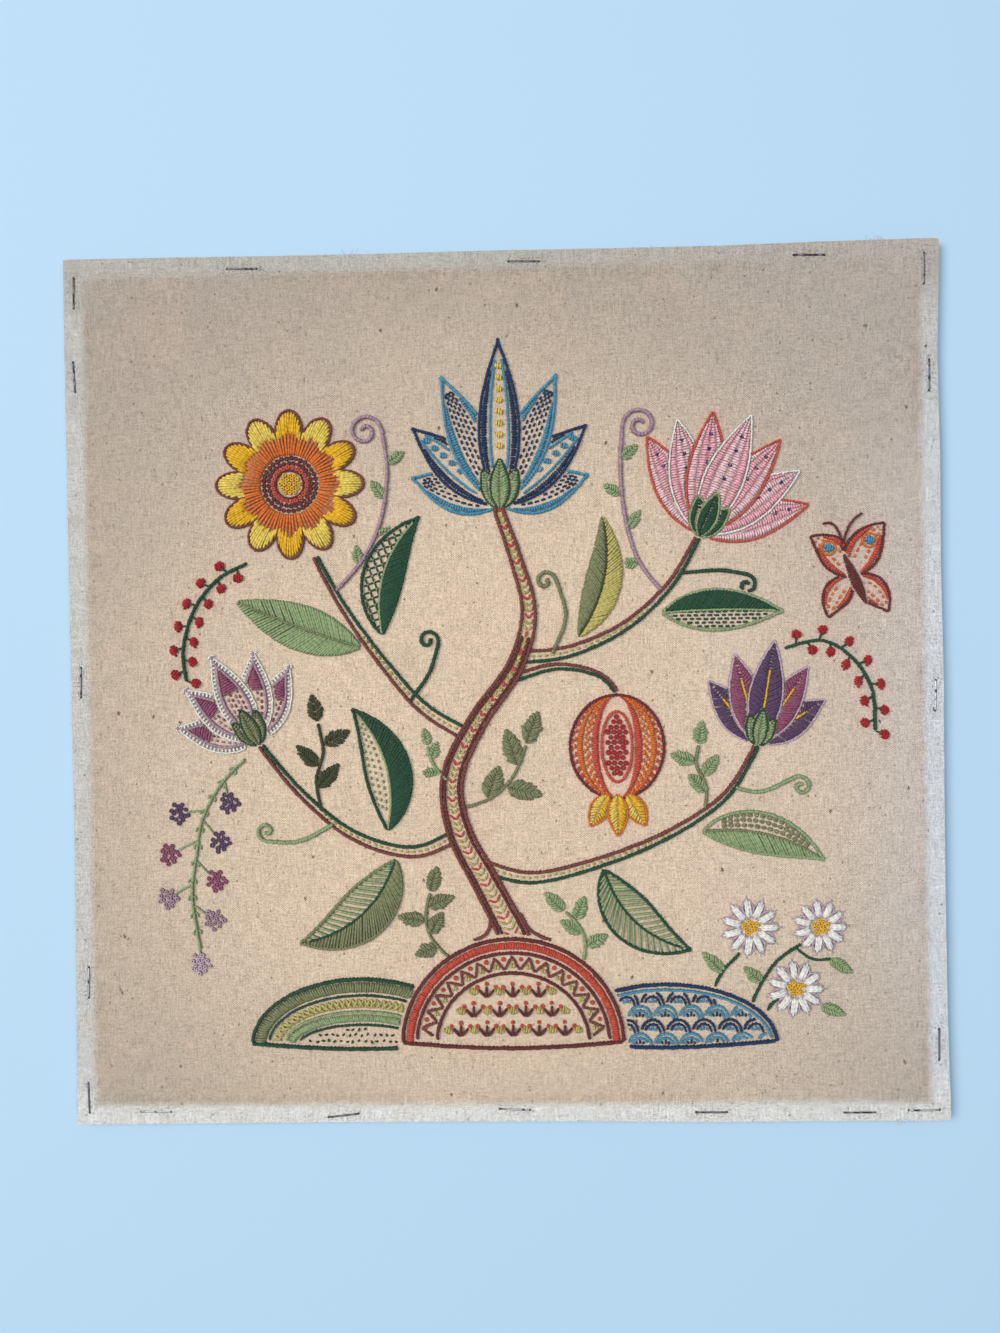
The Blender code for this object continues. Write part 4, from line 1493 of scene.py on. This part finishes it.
def makeLinen():
    bm = bmesh.new()
    halo = bm.verts.layers.float.new("dyeHalo")
    soot = bm.verts.layers.float.new("stapleSoot")
    bmesh.ops.create_grid(bm, x_segments=linen["cells"], y_segments=linen["cells"], size=1.0)
    for vert in bm.verts:
        vert.co = (*linenPlace(vert.co.x, vert.co.y), boardTop + linen["lieGap"])
    for axis in (0, 1):
        values = [vert.co[axis] for vert in bm.verts]
        middle = (min(values) + max(values)) / 2
        for vert in bm.verts:
            vert.co[axis] -= middle
    raised = bmesh.ops.extrude_face_region(bm, geom=bm.faces[:])
    upper = [part for part in raised["geom"] if isinstance(part, bmesh.types.BMVert)]
    for vert, strength in zip(upper, dyeHalo(np.array([vert.co[:2] for vert in upper]))):
        vert.co.z = linenHeight(vert.co.x, vert.co.y)
        vert[halo] = strength
        vert[soot] = nearStaple(vert.co.x, vert.co.y)
    bmesh.ops.recalc_face_normals(bm, faces=bm.faces)
    uv = bm.loops.layers.uv.new("OFBake")
    side = linen["side"] + 2.0
    for face in bm.faces:
        face.smooth = True
        for corner in face.loops:
            corner[uv].uv = (corner.vert.co.x / side + 0.5, corner.vert.co.y / side + 0.5)
    bmesh.ops.scale(bm, vec=(mm, mm, mm), verts=bm.verts)
    mesh = meshOf(bm, "linenGround")
    mesh.set_sharp_from_angle(angle=math.radians(50))
    mesh.materials.append(linenMaterial())
    piece = finishPiece("linenGround", mesh, ("linen",))
    print("linen woven,", len(mesh.polygons), "faces")


def fromEdge(x, y):
    return (panelHalf - x.size()).lesser(panelHalf - y.size())


def linenMaterial():
    material, shader, nodes = newMaterial("linen_cloth", 0.95, linen["sheen"])
    x, y = nodes.objectPlace(2)

    def drift(across, along, seed, detail=2.0):
        # Soft noise about 0, with so many waves a millimetre both ways
        return nodes.clouds(nodes.place(x * across, y * along, seed), detail) - 0.5

    def over(colour, share, name):
        return nodes.mix(share, colour, paint(*linen[name]))

    # Threads wander a little, so the weave isn't a ruled grid
    warp = x + drift(0.03, 0.045, 2.0) * 2.4
    weft = y + drift(0.045, 0.03, 7.0) * 2.4
    across = warp / linen["warpPitch"]
    along = weft / linen["weftPitch"]
    weave = (across * math.pi).sine() * (along * math.pi).sine() * 0.5
    slant = ((across - along) * math.pi).sine() * 0.5
    # Each crossing of two threads has its own tone, and threads have thick and thin places
    threads = nodes.place(across.floor(), along.floor())
    crossing = nodes.node("ShaderNodeTexWhiteNoise", None, {"Vector": threads}) - 0.5
    slubWarp = nodes.clouds(nodes.place(warp * 2.2, y * 0.14, 11.0)) - 0.5
    slubWeft = nodes.clouds(nodes.place(x * 0.14, weft * 2.2, 17.0)) - 0.5
    grain = drift(2.2, 2.2, 23.0)
    # Warm in the middle, greyer and darker towards the edges and corners: partly the cloth's toning by age,
    # partly painted shade where the light falls off; with pink patches
    middle = nodes.place(x / panelHalf - 0.07, y / panelHalf + 0.16)
    reach = nodes.node("ShaderNodeVectorMath", {"operation": "LENGTH"}, {0: middle}, 1)
    aged = (reach + (y + x) * 0.0004 + drift(0.013, 0.013, 31.0, 3.0) * 0.28).ramp(0.4, 1.4)
    colour = over(paint(*linen["warm"]), aged, "aged")
    colour = over(colour, drift(0.032, 0.032, 37.0, 3.0).ramp(-0.02, 0.14) * 0.16, "pink")
    # Painted cool light from the right side, stronger in a patch by the right edge's middle
    cool = x.ramp(10.0, panelHalf) * 0.14
    cool = cool + x.ramp(125.0, 172.0) * (1 - (y + 20.0).size().ramp(70.0, 150.0)) * 0.3
    colour = over(colour, cool, "cool")
    # The paler band that a frame kept clean, with grime at its inner edge
    edge = fromEdge(x, y)
    width = linen["bandWidth"]
    ragged = drift(0.09, 0.09, 41.0, 4.0)
    head = (y - 150.0).ramp(0.0, 20.0)
    band = 1 - (edge + ragged * 3.5).ramp(width - 1.6, width + 2.8)
    band = band * (1 - head * (0.2 + x.ramp(-60.0, 160.0) * 0.5))
    # The band's colour is painted bluer towards the lower right under that cool light, lighter at the foot
    # and darker at the head: painted light and shade
    clean = over(paint(*linen["clean"]), (x - y * 0.8).ramp(-160.0, 280.0), "cleanRight")
    clean = over(clean, (-150.0 - y).ramp(0.0, 24.0), "cleanLitFoot")
    clean = over(clean, head + (y - 90.0).ramp(0.0, 50.0) * 0.5, "cleanShadedHead")
    colour = nodes.mix(band * (0.85 + ragged * 0.7), colour, clean)
    grime = 1 - (edge - width - 2.4).size().ramp(0.0, 3.6)
    colour = over(colour, grime * drift(0.05, 0.05, 47.0).ramp(-0.14, 0.16) * 0.22, "grime")
    # Red dye that has run from the yarn, and old spots
    dye = nodes.node("ShaderNodeAttribute", {"attribute_name": "dyeHalo"}, None, 2)
    colour = over(colour, dye * 0.36, "dye")
    colour = over(colour, drift(0.035, 0.035, 53.0).ramp(0.12, 0.26) * 0.16, "grime")
    # Dark specks where the staples have rubbed off
    soot = nodes.node("ShaderNodeAttribute", {"attribute_name": "stapleSoot"}, None, 2)
    specks = (drift(1.3, 1.3, 61.0, 1.0) + soot * 0.1).ramp(0.14, 0.24)
    colour = over(colour, specks * soot.ramp(0.1, 0.6) * 0.6, "soot")
    # Thread tones, and dark bits of husk in some cells of a scattered pattern
    tone = slubWarp * 0.76 + slubWeft * 0.62 + grain * 0.14 + weave * 0.4 + slant * 0.2 + crossing * 0.38
    colour = colour.times(tone + 1.0)
    for spread, size, depth in linen["flecks"]:
        place = nodes.place(x + grain * 2.0, y * 0.75 + slubWarp * 2.0, spread)
        cells = nodes.node("ShaderNodeTexVoronoi", {"feature": "F1"}, {"Vector": place, "Scale": 1 / spread})
        lot = Signal(nodes.tree, cells.socket.node.outputs["Color"]).split()[0]
        fleck = 1 - (cells * spread).ramp(size * 0.5, size)
        colour = over(colour, fleck * lot.ramp(0.15, 0.6) * depth, "husk")
    colour.feed(shader, "Base Color")
    (weave * 0.55 + slubWarp * 0.6 + slubWeft * 0.5 + grain * 0.5).bump(shader, 0.8, 0.2)
    return material


# Loose thread ends round the cut edge, longer ones in tufts, and one dark hair
fibres = {
    "count": 330,
    "width": 0.13,
    "reach": (0.4, 1.4),
    "tufts": ((150, 177), (155, 177), (158, -177), (-60, 177)),
    "tuftSize": 5,
    "hair": (-98.2, 172.8, -93.6, 170.5),
    "longWidth": 0.16,
}


def makeFibres():
    book = StitchBook(101)
    dice = book.dice
    for index in range(fibres["count"]):
        at = dice.uniform(-0.99, 0.99)
        reach = dice.uniform(*fibres["reach"])
        edge = linenPlace(*((at, 1), (at, -1), (1, at), (-1, at))[index % 4])
        out = Vector(((0, 1), (0, -1), (1, 0), (-1, 0))[index % 4])
        along = Vector((out.y, out.x))
        start = edge - out * 0.6 + along * dice.uniform(-0.2, 0.2)
        end = edge + out * reach * 0.6 + along * dice.uniform(-1, 1) * reach
        low = dice.uniform(-0.8, -0.1)
        bow = dice.uniform(-0.2, 0.2)
        book.rows.append((*start, *end, fibres["width"], -0.12, bow, -0.3, low, "linenYarn"))
    for x, y in fibres["tufts"]:
        out = Vector((0, 1 if y > 0 else -1))
        for index in range(fibres["tuftSize"]):
            start = Vector((x + dice.uniform(-3, 3), y))
            end = start + out * dice.uniform(1.2, 3.2) + Vector((dice.uniform(-2.4, 2.4), 0))
            bow = dice.uniform(-0.7, 0.7)
            low = dice.uniform(-0.4, 0.4)
            book.rows.append((*start, *end, fibres["longWidth"], -0.1, bow, -0.3, low, "linenYarn"))
    book.rows.append((*fibres["hair"], fibres["longWidth"], -0.02, 0.4, 0.0, 0.0, "darkHair"))
    sewnPiece("frayedEdge", book)


# The staples
staples = {
    "rows": (
        # name, middle, turn in degrees
        ("top_1", -104.4, 172.7, -1.3), ("top_2", 11.0, 172.9, -1.3), ("top_3", 126.3, 172.6, -1.3),
        ("right_1", 172.1, 166.2, 89.1), ("right_2", 173.6, 123.2, 89.1),
        ("right_3", 174.5, -6.0, 88.0), ("right_4", 174.1, -147.1, 89.3),
        ("bottom_1", -145.6, -173.1, 0.0), ("bottom_2", -68.0, -174.9, 6.2),
        ("bottom_3", 2.3, -172.7, -2.5), ("bottom_4", 82.2, -174.2, 0.0),
        ("bottom_5", 142.0, -174.5, 0.0), ("bottom_6", 167.8, -173.7, 0.3),
        ("left_1", -174.2, 164.4, 88.9), ("left_2", -174.6, 130.0, 93.2), ("left_3", -173.9, 4.2, 88.9),
        ("left_4", -172.8, -119.6, 88.9), ("left_5", -173.5, -167.3, 91.6),
    ),
    "pale": ("right_3", "bottom_1", "bottom_3", "bottom_6", "left_4"),
    "rusty": ("top_3", "bottom_5"),
    "crown": 12.7,
    "wide": 0.74,
    "thick": 0.44,
    "holeReach": (0.56, 0.34),
    "bend": 0.55,
    "legEnd": 1.0,
    "sides": 8,
}


def stapleRoute(height, arch):
    # From the foot of one leg over the crown to the other, as x and z
    reach = staples["crown"] / 2 - staples["thick"] / 2
    bend = staples["bend"]
    half = [(reach, staples["legEnd"]), (reach, height - bend)]
    for angle in (22.5, 45, 67.5, 90):
        way = polar(angle, bend)
        half.append((reach - bend + way.x, height - bend + way.y))
    half.append((reach * 0.55, height + arch * 0.7))
    route = [(-x, z) for x, z in half] + [(0.0, height + arch)] + half[::-1]
    return [Vector((x, 0, z)) for x, z in route]


def makeStaple(name, x, y, turn, dice):
    bm = bmesh.new()
    route = stapleRoute(linenTop + staples["thick"] * 0.42, dice.uniform(-0.02, 0.12))
    place = Matrix.Translation((x, y, 0)) @ Matrix.Rotation(math.radians(turn), 4, "Z")
    size = Matrix.Diagonal((staples["wide"], staples["thick"], 1, 1))
    across = Vector((0, 1, 0))
    frames = []
    for before, point, after in zip(route[:1] + route, route, route[1:] + route[-1:]):
        ahead = (after - before).normalized()
        facing = Matrix((across, ahead.cross(across), ahead)).transposed().to_4x4()
        frames.append(place @ Matrix.Translation(point) @ facing @ size)
    bmesh.ops.create_circle(bm, segments=staples["sides"], radius=0.54, cap_ends=True, matrix=frames[0])
    rim = list(bm.edges)
    for before, after in zip(frames, frames[1:]):
        grown = bmesh.ops.extrude_edge_only(bm, edges=rim)["geom"]
        verts = [part for part in grown if isinstance(part, bmesh.types.BMVert)]
        rim = [part for part in grown if isinstance(part, bmesh.types.BMEdge)]
        rim = [edge for edge in rim if edge.verts[0] in verts and edge.verts[1] in verts]
        bmesh.ops.transform(bm, matrix=after @ before.inverted(), verts=verts)
    bmesh.ops.holes_fill(bm, edges=rim, sides=0)
    wire = set(bm.faces)
    # A low dark cone round each leg: painted shade where the leg goes into the cloth
    wide, narrow = staples["holeReach"]
    hole = {"cap_ends": True, "segments": 10, "radius1": wide, "radius2": narrow, "depth": 0.3}
    for foot in (route[0].x, route[-1].x):
        leg = place @ Matrix.Translation((foot, 0, linenTop + 0.1))
        bmesh.ops.create_cone(bm, matrix=leg, **hole)
    bmesh.ops.recalc_face_normals(bm, faces=bm.faces)
    bmesh.ops.scale(bm, vec=(mm, mm, mm), verts=bm.verts)
    for face in bm.faces:
        face.smooth = True
        face.material_index = 0 if face in wire else 1
    return meshOf(bm, name)


def makeStaples():
    dice = random.Random(111)
    looks = {
        "dark": stapleMaterial("staple_dark", (88, 90, 96), (146, 148, 152), 0.4),
        "pale": stapleMaterial("staple_zinc", (166, 168, 170), (210, 210, 208), 0.3),
        "rusty": stapleMaterial("staple_rusty", (110, 110, 112), (170, 170, 172), 0.6),
    }
    # Painted shade for where each leg goes into the cloth
    hole = newMaterial("staple_hole", 0.9, colour=(62, 56, 54))[0]
    for name, x, y, turn in staples["rows"]:
        node = "staple_" + name
        mesh = makeStaple(camelName(node), x, y, turn, dice)
        mesh.set_sharp_from_angle(angle=math.radians(60))
        look = next((look for look in ("pale", "rusty") if name in staples[look]), "dark")
        mesh.materials.append(looks[look])
        mesh.materials.append(hole)
        finishPiece(mesh.name, mesh, (node,))
    print("staples driven,", len(staples["rows"]))


def stapleMaterial(name, dull, bright, rust):
    material, shader, nodes = newMaterial(name, roughness=0.42, sheen=0.0, metallic=0.7)
    place = nodes.place(*nodes.objectPlace(3))
    cloud = nodes.clouds(place, 4.0, 0.9)
    drawn = nodes.clouds(place.times(9.0))
    spots = (nodes.clouds(place, 3.0, 0.55) - (0.7 - rust * 0.5)).ramp(0.0, 0.1)
    colour = nodes.mix(cloud, paint(*dull), paint(*bright))
    nodes.mix(spots, colour, paint(58, 48, 44)).feed(shader, "Base Color")
    (0.34 + cloud * 0.2 + spots * 0.35).feed(shader, "Roughness")
    (0.7 - spots * 0.6).feed(shader, "Metallic")
    (drawn * 0.5 + spots).bump(shader, 0.5, 0.03)
    return material


# The pasteboard stays the CAD's own node and gets a better finish
board = {
    "layers": 5.0,
    "face": (158, 148, 132),
    "pale": (178, 168, 152),
    "core": (128, 116, 98),
    "blotch": (134, 122, 104),
    "speck": (96, 88, 78),
}


def boardMaterial():
    material, shader, nodes = newMaterial("pasteboard_grey", 0.93)
    x, y, z = nodes.objectPlace(3)
    long = nodes.clouds(nodes.place(x * 0.12, y * 0.9, z * 2.0), 4.0)
    short = nodes.clouds(nodes.place(x * 2.2, y * 2.2, z * 6.0), 4.0)
    blotch = nodes.clouds(nodes.place(x * 0.02, y * 0.02, 3.0), 3.0)
    layer = ((z * board["layers"] + short * 0.8) * (2 * math.pi / 3)).sine() * 0.5 + 0.5
    atEdge = 1 - fromEdge(x, y).ramp(0.2, 1.6)
    specks = (nodes.clouds(nodes.place(x * 1.1, y * 1.1, z)) - 0.68).ramp(0.0, 0.05)
    colour = nodes.mix(long, paint(*board["face"]), paint(*board["pale"]))
    colour = nodes.mix(atEdge * layer * 0.8, colour, paint(*board["core"]))
    colour = nodes.mix((blotch - 0.45).ramp(0.0, 0.3) * 0.3, colour, paint(*board["blotch"]))
    nodes.mix(specks * 0.5, colour, paint(*board["speck"])).feed(shader, "Base Color")
    (short * 0.6 + long * 0.3 + layer * atEdge * 0.7).bump(shader, 0.5, 0.12)
    return material


def finishBoard():
    for slot in bpy.data.objects["board"].material_slots:
        slot.material = boardMaterial()
    print("board finished")


def makeFloor():
    bm = bmesh.new()
    bmesh.ops.create_grid(bm, x_segments=1, y_segments=1, size=floor["side"] / 2)
    bmesh.ops.translate(bm, vec=(0, 0, -floor["drop"] * mm), verts=bm.verts)
    mesh = meshOf(bm, "floor")
    mesh.materials.append(newMaterial("floor_paint", 0.85, colour=floor["paint"])[0])
    placedObject("floor", mesh)


setUpView()
makeFloor()
sewMiddleHillock()
sewLeftHillock()
sewRightHillock()
sewTree()
sewLeaves()
sewFans()
sewSunflower()
sewPomegranate()
sewDaisies()
sewButterfly()
sewHeather()
sewSprays()
sewSprigs()
sewTendrils()
sewDaisyStems()
makeLinen()
makeFibres()
makeStaples()
finishBoard()
